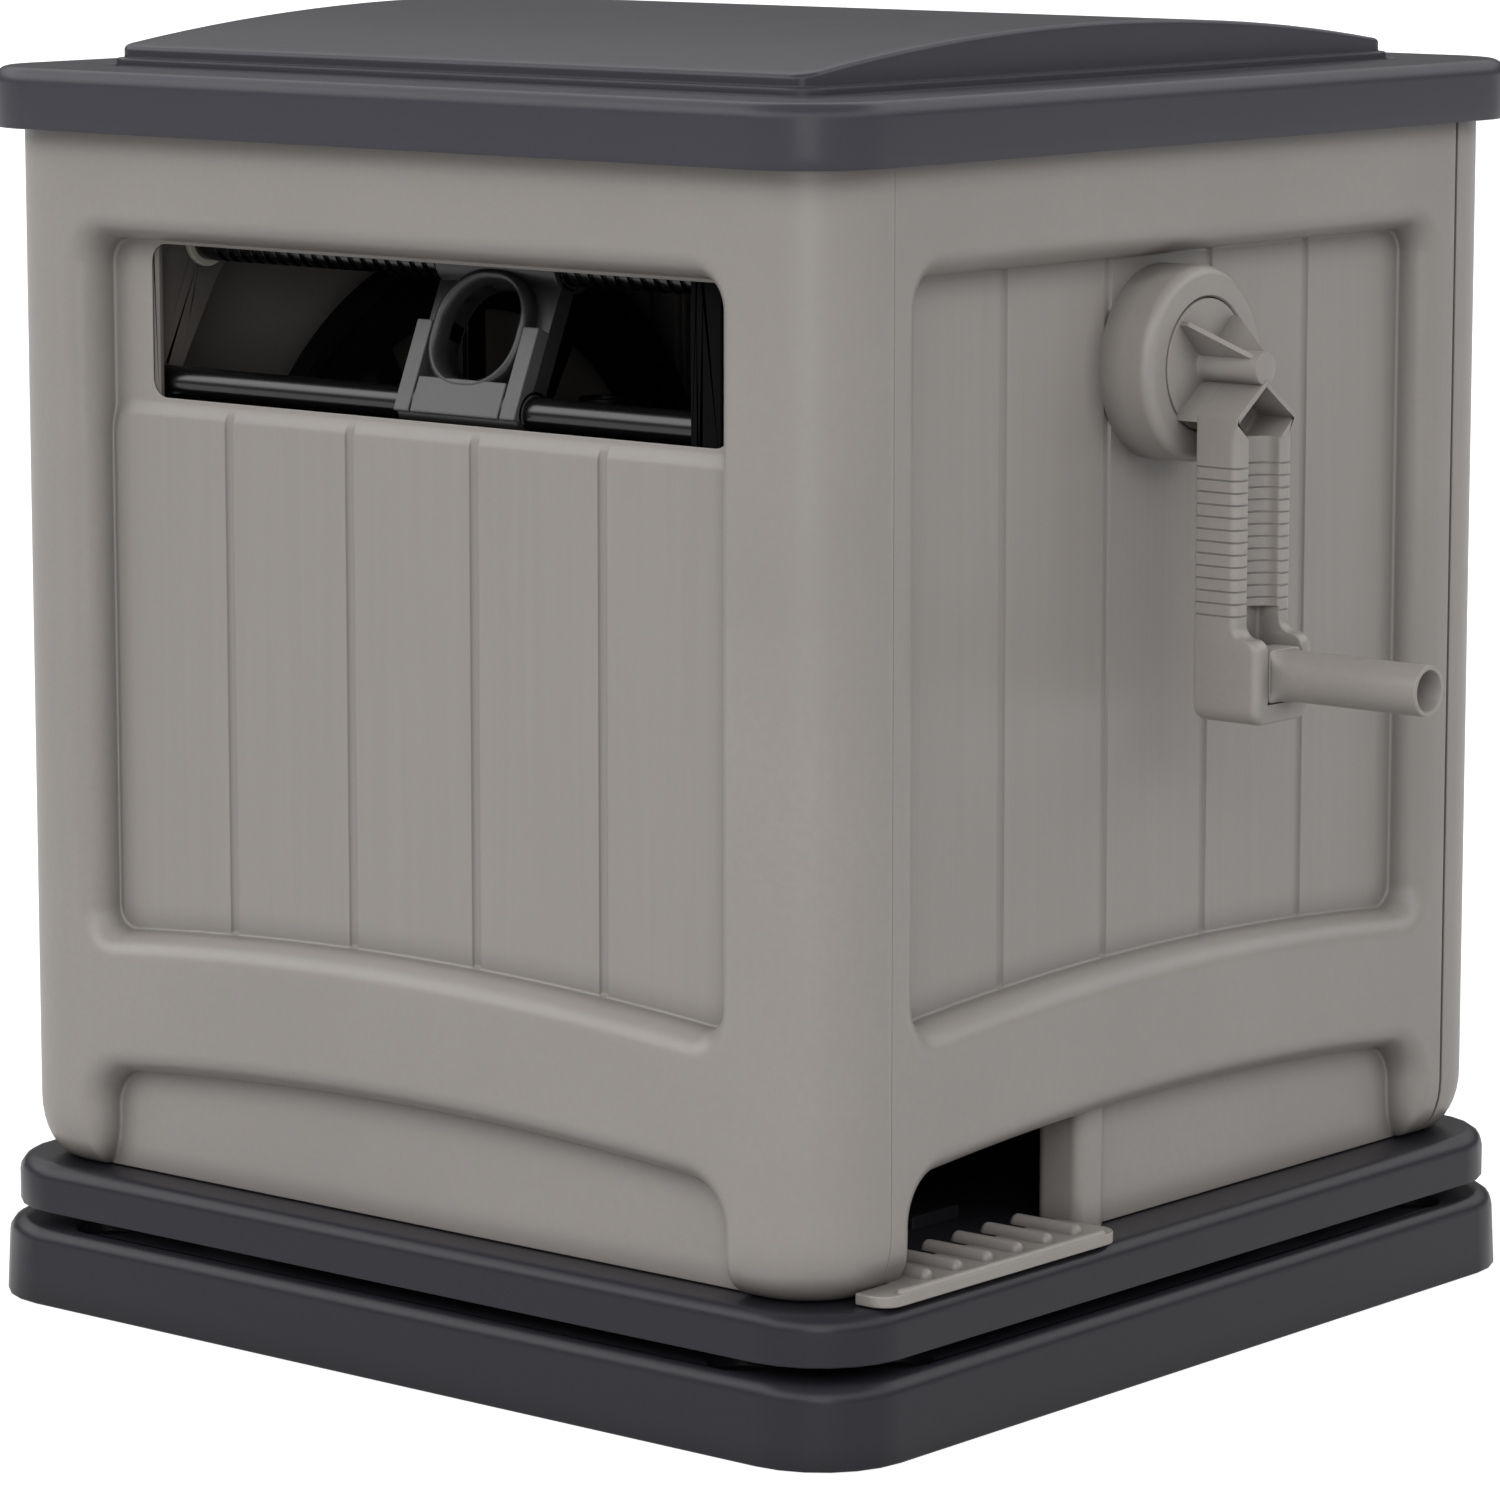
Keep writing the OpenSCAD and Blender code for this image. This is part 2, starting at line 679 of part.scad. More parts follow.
// Solid through a stack of loops, each given with its height
module loft(loops, heights) {
    n = len(loops[0]);
    m = len(loops);
    polyhedron(
        points = [for (k = [0:m - 1]) for (p = loops[k]) [p[0], p[1], heights[k]]],
        faces = concat(
            [[for (i = [0:n - 1]) i]],
            [[for (i = [0:n - 1]) m * n - 1 - i]],
            [for (k = [0:m - 2]) for (i = [0:n - 1]) [k * n + i, k * n + n + i, k * n + n + (i + 1) % n]],
            [for (k = [0:m - 2]) for (i = [0:n - 1])
                [k * n + i, k * n + n + (i + 1) % n, k * n + (i + 1) % n]]
        ),
        convexity = 10
    );
}

// Plate with a rounded upper edge
module soft_plate(hx, hy, r, low, high, edge, draft) {
    loft(
        concat([rr_loop(hx, hy, r)],
            [for (i = [0:round_steps]) let (in = draft + edge * (1 - cos(90 * i / round_steps)))
                rr_loop(hx - in, hy - in, r - in)]),
        concat([low], [for (i = [0:round_steps]) high - edge + edge * sin(90 * i / round_steps)])
    );
}

// Cabinet body with rounded feet, inset by a wall
module body(inset, low, high) {
    loft(
        concat(
            [for (i = [0:round_steps]) let (in = inset + foot_round * (1 - sin(90 * i / round_steps)))
                rr_loop(half_w - in, half_d - in, max(overrun, box_r - in))],
            [rr_loop(half_w - inset, half_d - inset, box_r - inset)]),
        concat([for (i = [0:round_steps]) low + foot_rise * (1 - cos(90 * i / round_steps))], [high])
    );
}

// Places children that are drawn with z along the X axis, at a height and depth
module along_x(x, y, z) {
    translate([x, y, z])
        rotate([90, 0, 90])
            children();
}

// Ring with a bore
module ring(d, bore, h) {
    difference() {
        cylinder(d = d, h = h);
        translate([0, 0, -overrun])
            cylinder(d = bore, h = h + 2 * overrun);
    }
}

// Screw with a round head, shank down from z = 0
module screw(len) {
    cylinder(d = screw_head_d, h = screw_head_h);
    translate([0, 0, -len])
        cylinder(d = screw_d, h = len + overrun);
}

// Toothed wheel with a web, a rim and a hub
module wheel(teeth, turn, bore, hub) {
    rp = gear_module * teeth / 2;
    rim = rp - dedendum_share * gear_module - gear_rim;
    difference() {
        linear_extrude(gear_t)
            polygon(gear_loop(teeth, turn));
        translate([0, 0, -overrun])
            cylinder(d = bore, h = gear_t + 2 * overrun);
        if (rim > hub / 2 + gear_rim) {
            translate([0, 0, gear_web])
                difference() {
                    cylinder(r = rim, h = gear_t);
                    cylinder(d = hub, h = gear_t);
                }
        }
    }
}

// Cutter for the plank field, face in the XZ plane, depth along +Y
module field_cut() {
    rotate([90, 0, 0])
        loft([for (s = wall_run_shares) field_loop(recess_run * s)],
            [for (s = wall_depth_shares) -recess_depth * s]);
    for (i = [1:plank_count - 1])
        translate([-field_half + plank_pitch * i - groove_w / 2, recess_depth - overrun,
                field_bottom - field_r])
            cube([groove_w, groove_d + overrun, field_top - field_bottom + field_r]);
}

// Cutter for the apron field
module apron_cut() {
    rotate([90, 0, 0])
        loft([for (s = wall_run_shares) apron_loop(recess_run * s)],
            [for (s = wall_depth_shares) -recess_depth * s]);
}

// Wall behind both fields
module field_wall() {
    translate([0, recess_depth + wall, 0])
        rotate([90, 0, 0]) {
            linear_extrude(recess_depth)
                polygon(field_loop(field_back));
            linear_extrude(recess_depth)
                intersection() {
                    polygon(apron_loop(field_back));
                    translate([-half_w, box_z])
                        square([box_w, box_top - box_z]);
                }
        }
}

// One face of the cabinet turned to its side
module on_face(turn, dist) {
    rotate([0, 0, turn])
        translate([0, -dist, 0])
            children();
}

// Cabinet shell, open at the top and through the floor
module shell() {
    difference() {
        body(0, box_z, box_top);
        body(wall, box_z + wall, box_top + overrun);
        translate([-half_w + foot_flange, -half_d + foot_flange, box_z - overrun])
            cube([box_w - 2 * foot_flange, box_d - 2 * foot_flange, foot_rise]);
    }
}

// Seam flanges with their screw holes, at y = 0 going towards +Y
module seam_flange_pair() {
    for (s = [-1, 1])
        difference() {
            translate([s > 0 ? half_w - seam_flange : -half_w + wall / 2, 0, box_z + foot_rise])
                cube([seam_flange - wall / 2, wall, box_top - box_z - foot_rise]);
            for (i = [0:panel_screw_count - 1])
                translate([s * (half_w - wall - (seam_flange - wall) / 2), -overrun,
                        box_z + panel_screw_low + panel_screw_pitch * i])
                    rotate([-90, 0, 0])
                        cylinder(d = screw_d, h = wall + 2 * overrun);
        }
}

// Wrapping panel: front when drawn as it stands, rear when turned
module wrap_panel() {
    difference() {
        union() {
            intersection() {
                shell();
                translate([-half_w, -half_d, box_z])
                    cube([box_w, half_d - seam_y, box_top - box_z]);
            }
            on_face(0, half_d)
                field_wall();
            translate([0, -seam_y - wall, 0])
                seam_flange_pair();
        }
        on_face(0, half_d) {
            field_cut();
            apron_cut();
        }
        foot_holes();
    }
}

// Plain side panel, drawn for the +X side
module side_panel() {
    difference() {
        union() {
            intersection() {
                shell();
                translate([0, -seam_y + seam_gap, box_z])
                    cube([half_w, 2 * (seam_y - seam_gap), box_top - box_z]);
            }
            on_face(90, half_w)
                field_wall();
            intersection() {
                union() {
                    translate([0, -seam_y + seam_gap, 0])
                        seam_flange_pair();
                    translate([0, seam_y - seam_gap - wall, 0])
                        seam_flange_pair();
                }
                translate([0, -half_d, 0])
                    cube([half_w, box_d, box_top]);
            }
        }
        on_face(90, half_w) {
            field_cut();
            apron_cut();
        }
        foot_holes();
    }
}

// Places for the screws that hold the feet
module foot_spots() {
    for (sx = [-1, 1])
        for (sy = [-1, 1])
            translate([sx * (half_w - foot_screw_in), sy * (half_d - foot_screw_in), box_z])
                children();
}

module foot_holes() {
    foot_spots()
        translate([0, 0, -overrun])
            cylinder(d = screw_d, h = wall + 2 * overrun);
}

module lower_base() {
    color([0.23, 0.23, 0.25])
        difference() {
            union() {
                difference() {
                    soft_plate(base_w / 2, base_w / 2, plate_r, 0, base_h, plate_edge_r, base_draft);
                    translate([0, 0, -overrun])
                        linear_extrude(base_h - plate_wall + overrun)
                            polygon(rr_loop(base_w / 2 - base_skirt, base_w / 2 - base_skirt,
                                plate_r - base_skirt));
                }
                for (s = [-1, 1]) {
                    translate([-base_w / 2 + base_skirt, s * base_rib_at - rib_t / 2, 0])
                        cube([base_w - 2 * base_skirt, rib_t, base_h - plate_wall]);
                    translate([s * base_rib_at - rib_t / 2, -base_w / 2 + base_skirt, 0])
                        cube([rib_t, base_w - 2 * base_skirt, base_h - plate_wall]);
                }
                cylinder(d = pivot_hub_d, h = base_h);
                anchor_spots()
                    cylinder(d = anchor_post_d, h = base_h - plate_wall / 2);
            }
            translate([0, 0, -overrun])
                cylinder(d = pivot_d, h = base_h + 2 * overrun);
            translate([0, 0, -overrun])
                cylinder(d = pivot_head_d, h = pivot_head_h + overrun);
            anchor_spots() {
                translate([0, 0, -overrun])
                    cylinder(d = anchor_d, h = base_h + 2 * overrun);
                translate([0, 0, base_h - anchor_recess])
                    cylinder(d = anchor_recess_d, h = anchor_recess + overrun);
            }
            race();
        }
}

// Places of the anchor holes, two near each end of every edge
module anchor_spots() {
    for (turn = [0, 90, 180, 270])
        for (s = [-1, 1])
            rotate([0, 0, turn])
                translate([s * anchor_along, -anchor_across, 0])
                    children();
}

// Groove that the balls run in
module race() {
    translate([0, 0, ball_z])
        rotate_extrude()
            translate([race_r, 0])
                circle(d = ball_d + 2 * ball_gap);
}

module pivot_bolt() {
    color([0.7, 0.71, 0.72]) {
        cylinder(d = pivot_head_d - 2 * face_gap, h = pivot_head_h);
        cylinder(d = pivot_d, h = table_top + swivel_collar_h + pivot_washer_h + pivot_nut_h);
    }
}

module pivot_washer() {
    color([0.75, 0.76, 0.77])
        translate([0, 0, table_top + swivel_collar_h + face_gap])
            ring(pivot_washer_d, pivot_d, pivot_washer_h);
}

module pivot_nut() {
    color([0.7, 0.71, 0.72])
        translate([0, 0, table_top + swivel_collar_h + face_gap + pivot_washer_h])
            difference() {
                cylinder(d = pivot_nut_d, h = pivot_nut_h - face_gap - overrun, $fn = hex_sides);
                translate([0, 0, -overrun])
                    cylinder(d = pivot_d, h = pivot_nut_h + overrun);
            }
}

module ball_spots() {
    for (i = [0:ball_count - 1])
        rotate([0, 0, 360 * i / ball_count])
            translate([race_r, 0, ball_z])
                children();
}

module ball_cage() {
    color([0.85, 0.84, 0.8])
        difference() {
            translate([0, 0, ball_z - cage_h / 2])
                ring(2 * race_r + cage_w, 2 * race_r - cage_w, cage_h);
            ball_spots()
                translate([0, 0, -cage_h])
                    cylinder(d = ball_d + 2 * pocket_gap, h = 2 * cage_h);
        }
}

module bearing_balls() {
    color([0.8, 0.81, 0.82])
        ball_spots()
            sphere(d = ball_d);
}

module swivel_plate() {
    color([0.25, 0.25, 0.27])
        difference() {
            union() {
                difference() {
                    soft_plate(table_w / 2, table_w / 2, plate_r, table_z, table_top, plate_edge_r, 0);
                    translate([0, 0, table_z - overrun])
                        linear_extrude(table_top - table_z - plate_wall + overrun)
                            polygon(rr_loop(table_w / 2 - base_skirt, table_w / 2 - base_skirt,
                                plate_r - base_skirt));
                }
                translate([0, 0, table_z])
                    ring(2 * race_r + race_band, 2 * race_r - race_band, table_top - table_z - plate_wall);
                for (s = [-1, 1]) {
                    translate([-table_w / 2 + base_skirt, s * base_rib_at - rib_t / 2, table_z])
                        cube([table_w - 2 * base_skirt, rib_t, table_top - table_z - plate_wall]);
                    translate([s * base_rib_at - rib_t / 2, -table_w / 2 + base_skirt, table_z])
                        cube([rib_t, table_w - 2 * base_skirt, table_top - table_z - plate_wall]);
                }
                translate([0, 0, table_z])
                    cylinder(d = pivot_hub_d, h = table_top - table_z);
                for (sx = [-1, 1])
                    for (sy = [-1, 1])
                        translate([sx * tab_x - tab_t / 2, sy * tab_y - tab_len / 2,
                                table_top - plate_wall / 2])
                            cube([tab_t, tab_len, tab_h + plate_wall / 2]);
                foot_spots()
                    translate([0, 0, table_z - box_z])
                        cylinder(d = anchor_post_d / 2, h = table_top - table_z - plate_wall / 2);
            }
            translate([0, 0, table_z - overrun])
                cylinder(d = swivel_bush_d, h = table_top - table_z + 2 * overrun);
            foot_spots()
                translate([0, 0, -foot_screw_len + wall])
                    cylinder(d = screw_d, h = foot_screw_len);
            race();
        }
}

module swivel_bush() {
    color([0.88, 0.87, 0.82])
        difference() {
            union() {
                translate([0, 0, table_z])
                    cylinder(d = swivel_bush_d, h = table_top - table_z);
                translate([0, 0, table_top])
                    cylinder(d = swivel_collar_d, h = swivel_collar_h);
            }
            translate([0, 0, table_z - overrun])
                cylinder(d = pivot_d + 2 * run_gap, h = table_top - table_z + swivel_collar_h + 2 * overrun);
        }
}

module foot_screws() {
    color([0.6, 0.61, 0.62])
        foot_spots()
            translate([0, 0, wall])
                screw(foot_screw_len);
}

module front_panel() {
    color([0.58, 0.56, 0.54])
        difference() {
            wrap_panel();
            translate([(slot_right - slot_left) / 2, -floor_y + wall + field_back + overrun,
                    (slot_low + slot_high) / 2])
                rotate([90, 0, 0])
                    linear_extrude(wall + field_back + 2 * overrun)
                        polygon(rr_loop((slot_left + slot_right) / 2, (slot_high - slot_low) / 2, slot_r));
            bracket_screw_spots()
                cylinder(d = screw_d, h = 2 * (wall - groove_d), center = true);
        }
}

module rear_panel() {
    color([0.58, 0.56, 0.54])
        difference() {
            union() {
                rotate([0, 0, 180])
                    wrap_panel();
                hinge_spots(knuckle_w / 2 + face_gap)
                    lug();
                mirror([1, 0, 0])
                    hinge_spots(knuckle_w / 2 + face_gap)
                        lug();
            }
            hinge_bores(0);
        }
}

// One cabinet knuckle with its web, from the hinge's side outward
module lug() {
    rotate([90, 0, 90]) {
        cylinder(r = knuckle_r, h = lug_w);
        translate([-hinge_out - wall / 2, -lug_web_h + knuckle_r, 0])
            linear_extrude(lug_w)
                polygon([[0, 0], [0, lug_web_h], [hinge_out + wall / 2, lug_web_h],
                    [hinge_out + wall / 2, lug_web_h - 2 * knuckle_r]]);
    }
}

// Places for a pair of knuckles at each hinge, on the right of its middle
module hinge_spots(from) {
    for (s = [-1, 1])
        translate([s * hinge_x + from, hinge_y, hinge_z])
            children();
}

module hinge_bores(gap) {
    for (s = [-1, 1])
        along_x(s * hinge_x - knuckle_w, hinge_y, hinge_z)
            cylinder(d = hinge_pin_d + 2 * gap, h = 2 * knuckle_w);
}

module left_panel() {
    color([0.56, 0.54, 0.52])
        difference() {
            union() {
                mirror([1, 0, 0])
                    side_panel();
                along_x(-inner_x - wall / 2, 0, reel_z)
                    cylinder(d = boss_d, h = wall / 2 + spindle_foot_t);
            }
            along_x(-inner_x, 0, reel_z)
                cylinder(d = spindle_foot_d, h = boss_len);
        }
}

module right_panel() {
    color([0.54, 0.52, 0.5])
        difference() {
            union() {
                difference() {
                    side_panel();
                    inlet_cut();
                }
                along_x(inner_x - boss_len + wall, 0, reel_z)
                    cylinder(d = boss_d, h = boss_len - wall / 2);
                along_x(bush_in + wall, 0, crank_z)
                    cylinder(d = bush_d + 2 * boss_wall, h = inner_x - bush_in - wall / 2);
                along_x(gear_out + 2 * wall, idler_y, idler_z)
                    cylinder(d = idler_axle_d + 2 * boss_wall, h = inner_x - gear_out - 1.5 * wall);
                translate([floor_x - post_deep, -inlet_back, box_z])
                    cube([post_deep + post_proud, post_w, apron_top - box_z - field_r / 2]);
                step();
            }
            along_x(inner_x - boss_len, 0, reel_z)
                cylinder(d = bearing_d, h = boss_len);
            along_x(bush_in, 0, crank_z)
                cylinder(d = bush_d, h = half_w - bush_in);
            along_x(gear_out, idler_y, idler_z)
                cylinder(d = idler_axle_d, h = inner_x - gear_out + wall / 2);
            housing_screw_spots()
                cylinder(d = screw_d, h = 2 * wall, center = true);
        }
}

// Inlet opening for the supply hose, up to the apron's arch
module inlet_cut() {
    along_x(floor_x + overrun - foot_flange, 0, 0)
        linear_extrude(foot_flange)
            intersection() {
                polygon(apron_loop(-inlet_margin));
                translate([-apron_half, box_z - overrun])
                    square([apron_half - inlet_back, apron_top]);
            }
}

// Ribbed step under the inlet opening
module step() {
    translate([inner_x - wall, -step_front + step_nose, box_z])
        cube([step_x - inner_x + wall, step_front - step_nose - inlet_back, step_t]);
    translate([step_x - nose_w, -step_front, box_z])
        cube([nose_w, step_nose + overrun, step_t]);
    for (i = [0:tread_count - 1])
        translate([step_x - tread_edge - tread_len, -inlet_back - tread_pitch * (i + 1) - tread_w / 2,
                box_z + step_t / 2])
            cube([tread_len, tread_w, step_t / 2 + tread_h]);
}

module panel_screws() {
    color([0.6, 0.61, 0.62])
        for (sx = [-1, 1])
            for (sy = [-1, 1])
                for (i = [0:panel_screw_count - 1])
                    translate([sx * (half_w - wall - (seam_flange - wall) / 2),
                            sy * (seam_y - seam_gap - wall), box_z + panel_screw_low + panel_screw_pitch * i])
                        rotate([sy * 90, 0, 0])
                            screw(2 * wall + seam_gap + wall);
}

module lid() {
    color([0.29, 0.29, 0.31])
        difference() {
            union() {
                soft_plate(lid_w / 2, lid_d / 2, box_r, lid_low, lid_edge_top, lid_edge_r, 0);
                crown(0);
                lid_knuckles();
            }
            translate([0, 0, lid_low - overrun])
                linear_extrude(box_top - lid_low + overrun)
                    polygon(rr_loop(lid_w / 2 - lid_wall, lid_d / 2 - lid_wall, box_r - lid_wall));
            crown(lid_wall);
            translate([0, 0, lid_edge_top - crown_groove])
                linear_extrude(crown_rise)
                    difference() {
                        polygon(rr_loop(crown_half_w + crown_groove_w, crown_half_d + crown_groove_w,
                            crown_r + crown_groove_w));
                        polygon(rr_loop(crown_half_w, crown_half_d, crown_r));
                    }
            hinge_bores(run_gap);
        }
}

// Raised and arched middle of the lid
module crown(inset) {
    intersection() {
        translate([0, 0, box_top - overrun])
            linear_extrude(crown_rise + lid_wall + overrun)
                polygon(rr_loop(crown_half_w - inset, crown_half_d - inset, crown_r - inset));
        along_x(-lid_w / 2, 0, ridge_z - crown_arch_r)
            cylinder(r = crown_arch_r - inset, h = lid_w);
    }
}

// Knuckles that hang from the lid's rear edge
module lid_knuckles() {
    for (s = [-1, 1])
        along_x(s * hinge_x - knuckle_w / 2, hinge_y, hinge_z) {
            cylinder(r = knuckle_r, h = knuckle_w);
            linear_extrude(knuckle_w)
                polygon([[-knuckle_r, 0], [knuckle_r, 0], [knuckle_r, hinge_down],
                    [lid_d / 2 - hinge_y + hinge_web, hinge_down + hinge_web_h],
                    [lid_d / 2 - hinge_y - lid_wall / 2, hinge_down + hinge_web_h],
                    [lid_d / 2 - hinge_y - lid_wall / 2, hinge_down]]);
        }
}

module hinge_pins() {
    color([0.7, 0.71, 0.72])
        for (s = [-1, 1])
            along_x(s * hinge_x - knuckle_w / 2 - face_gap - lug_w, hinge_y, hinge_z)
                cylinder(d = hinge_pin_d, h = knuckle_w + 2 * face_gap + 2 * lug_w);
}

module crank_housing() {
    color([0.56, 0.54, 0.52])
        difference() {
            along_x(floor_x, 0, crank_z)
                cylinder(d = housing_d, h = housing_len);
            along_x(floor_x + housing_back, 0, crank_z)
                cylinder(d = disc_d + 2 * disc_gap, h = housing_len);
            along_x(floor_x - overrun, 0, crank_z)
                cylinder(d = bush_d, h = housing_len);
            housing_screw_spots()
                cylinder(d = screw_d, h = 2 * housing_back, center = true);
        }
}

module housing_screw_spots() {
    for (i = [0:2])
        translate([floor_x, housing_screw_r * cos(120 * i + 30),
                crank_z + housing_screw_r * sin(120 * i + 30)])
            rotate([0, 90, 0])
                children();
}

module housing_screws() {
    color([0.6, 0.61, 0.62])
        housing_screw_spots()
            translate([0, 0, -wall])
                mirror([0, 0, 1])
                    screw(wall + housing_back);
}

module crank_bush() {
    color([0.88, 0.87, 0.82])
        along_x(bush_in, 0, crank_z)
            ring(bush_d, shaft_d + 2 * run_gap, floor_x + housing_back - bush_in);
}

module crank_shaft() {
    color([0.68, 0.69, 0.7])
        difference() {
            along_x(gear_x, 0, crank_z)
                cylinder(d = shaft_d, h = disc_x - gear_x);
            along_x(gear_x - overrun, 0, crank_z)
                cylinder(d = screw_d, h = crank_screw_len + overrun);
        }
}

module crank_pinion() {
    color([0.2, 0.2, 0.21])
        along_x(gear_x, 0, crank_z)
            wheel(crank_teeth, crank_turn, shaft_d, gear_hub_d);
}

module crank_screw() {
    color([0.7, 0.71, 0.72])
        along_x(gear_x, 0, crank_z)
            mirror([0, 0, 1]) {
                ring(crank_washer_d, screw_d - overrun, crank_washer_t);
                translate([0, 0, crank_washer_t])
                    screw(crank_screw_len);
            }
}

module crank_arm() {
    color([0.57, 0.55, 0.53])
        difference() {
            union() {
                along_x(disc_x, 0, crank_z)
                    cylinder(d = disc_d, h = disc_t);
                along_x(disc_x, 0, crank_z)
                    cylinder(d = peg_d, h = disc_t + peg_len);
                for (s = [-1, 1])
                    gusset(45 * s);
                along_x(housing_face, 0, 0)
                    linear_extrude(arm_gap + arm_t)
                        polygon([[-arm_w / 2, eave_z], [-arm_w / 2, eave_z - roof_t], [0, roof_top - roof_t],
                            [arm_w / 2, eave_z - roof_t], [arm_w / 2, eave_z], [0, roof_top]]);
                along_x(arm_x, 0, 0)
                    linear_extrude(arm_t)
                        polygon([[-arm_w / 2, grip_z - arm_end], [arm_w / 2, grip_z - arm_end],
                            [arm_w / 2, eave_z], [0, roof_top], [-arm_w / 2, eave_z]]);
                translate([arm_x, -arm_w / 2, grip_z - arm_end])
                    cube([arm_t + fork_out, arm_w, fork_h]);
            }
            grip_room();
            arm_grooves();
            translate([grip_x, -arm_w / 2 + pin_skin, grip_z])
                rotate([-90, 0, 0])
                    cylinder(d = pin_d, h = arm_w);
        }
}

// Three-cornered rib between the disc and the peg, turned from upright about the crank axis
module gusset(turn) {
    translate([housing_face, 0, crank_z])
        rotate([turn, 0, 0])
            translate([0, gusset_t / 2, 0])
                rotate([90, 0, 0])
                    linear_extrude(gusset_t)
                        polygon([[-disc_t / 2, 0], [peg_len - gusset_h, 0], [peg_len - gusset_h, peg_d / 2],
                            [gusset_h, gusset_r], [-disc_t / 2, gusset_r]]);
}

// Room in the arm for the grip: its root in the fork, its swing, and the channel that it folds into
module grip_room() {
    translate([grip_x, 0, grip_z])
        cylinder(r = channel_r, h = eave_z - roof_t - grip_z);
    translate([grip_x - root_r - fold_gap, -root_w / 2 - fold_gap, grip_z - root_r - fold_gap])
        cube([root_r + fold_gap + fork_out + overrun, root_w + 2 * fold_gap,
            window_z - grip_z + root_r + fold_gap]);
    along_x(grip_x - channel_r, 0, 0)
        linear_extrude(arm_t)
            polygon([[-channel_r, eave_z - 2 * roof_t], [channel_r, eave_z - 2 * roof_t],
                [channel_r, roof_under(channel_r)], [0, roof_under(0)], [-channel_r, roof_under(channel_r)]]);
}

// Height of the roof's under side at a distance from the middle
function roof_under(y) = roof_top - arm_roof * y / (arm_w / 2) - roof_t;

// Fine grooves across the arm's sides and the front of its walls
module arm_grooves() {
    for (i = [0:1:arm_groove_count - 1])
        translate([arm_x, 0, crank_z - arm_groove_from - arm_groove_pitch * i - arm_groove_w / 2])
            linear_extrude(arm_groove_w)
                difference() {
                    translate([-overrun, -arm_w / 2 - overrun])
                        square([arm_t + 2 * overrun, arm_w + 2 * overrun]);
                    translate([-2 * overrun, -arm_w / 2 + arm_groove_d])
                        square([arm_t - arm_groove_d + 2 * overrun, arm_w - 2 * arm_groove_d]);
                }
}

module grip_pin() {
    color([0.7, 0.71, 0.72])
        translate([grip_x, -arm_w / 2 + pin_skin, grip_z])
            rotate([-90, 0, 0])
                cylinder(d = pin_d, h = arm_w - pin_skin);
}

module crank_grip() {
    color([0.56, 0.54, 0.52])
        difference() {
            union() {
                along_x(grip_x, 0, grip_z)
                    cylinder(d = grip_d, h = grip_len);
                translate([grip_x, -root_w / 2, grip_z])
                    rotate([-90, 0, 0])
                        cylinder(r = root_r, h = root_w);
                translate([grip_x, -root_w / 2, grip_z - root_r])
                    cube([fork_out, root_w, 2 * root_r]);
            }
            translate([grip_x, -root_w, grip_z])
                rotate([-90, 0, 0])
                    cylinder(d = pin_d + 2 * run_gap, h = 2 * root_w);
            along_x(grip_end - grip_open, 0, grip_z)
                cylinder(d = grip_bore, h = grip_open + overrun);
        }
}

module reel_drum() {
    color([0.1, 0.1, 0.11])
        difference() {
            union() {
                along_x(-flange_left + flange_t, 0, reel_z)
                    ring(2 * drum_r, 2 * (drum_r - drum_wall), flange_left + flange_right - 2 * flange_t);
                for (i = [0:tie_count - 1])
                    for (x = [-flange_left + flange_t, flange_right - flange_t - tie_post_len])
                        along_x(x, tie_r * cos(360 * i / tie_count),
                                reel_z + tie_r * sin(360 * i / tie_count))
                            cylinder(d = tie_post_d, h = tie_post_len);
            }
            tie_spots()
                translate([0, 0, -tie_len])
                    cylinder(d = screw_d, h = tie_len);
            translate([outlet_x(), 0, reel_z])
                cylinder(d = tube_d, h = 2 * drum_r);
        }
}

// Position of the hose outlet along the axis
function outlet_x() = -spindle_in + socket_len - tube_d / 2;

// Places for the tie screws on both flanges, heads outward
module tie_spots() {
    for (i = [0:tie_count - 1]) {
        translate([flange_right, tie_r * cos(360 * i / tie_count), reel_z + tie_r * sin(360 * i / tie_count)])
            rotate([0, 90, 0])
                children();
        translate([-flange_left, tie_r * cos(360 * i / tie_count), reel_z + tie_r * sin(360 * i / tie_count)])
            rotate([0, -90, 0])
                children();
    }
}

// Reel flange, drawn with its outer face at z = 0 and the drum towards -z
module flange(bore) {
    translate([0, 0, -flange_t])
        difference() {
            union() {
                cylinder(r = flange_r, h = flange_t);
                translate([0, 0, flange_t - rim_t])
                    ring(2 * flange_r, 2 * (flange_r - rim_w), rim_t);
            }
            translate([0, 0, -overrun])
                linear_extrude(flange_t + 2 * overrun)
                    difference() {
                        circle(r = band_r);
                        circle(r = window_r);
                        for (i = [0:spoke_count - 1])
                            rotate(360 * i / spoke_count)
                                translate([0, -spoke_w / 2])
                                    square([flange_r, spoke_w]);
                    }
            translate([0, 0, -overrun])
                cylinder(d = bore, h = flange_t + 2 * overrun);
        }
}

module left_flange() {
    color([0.11, 0.11, 0.12])
        difference() {
            union() {
                along_x(-flange_left, 0, reel_z)
                    mirror([0, 0, 1])
                        flange(hub_d - 2 * wall);
                along_x(-flange_left, 0, reel_z)
                    ring(hub_d, hub_d - 2 * wall, flange_left - spindle_in - face_gap);
            }
            tie_spots()
                translate([0, 0, -2 * flange_t])
                    cylinder(d = screw_d, h = 3 * flange_t);
        }
}

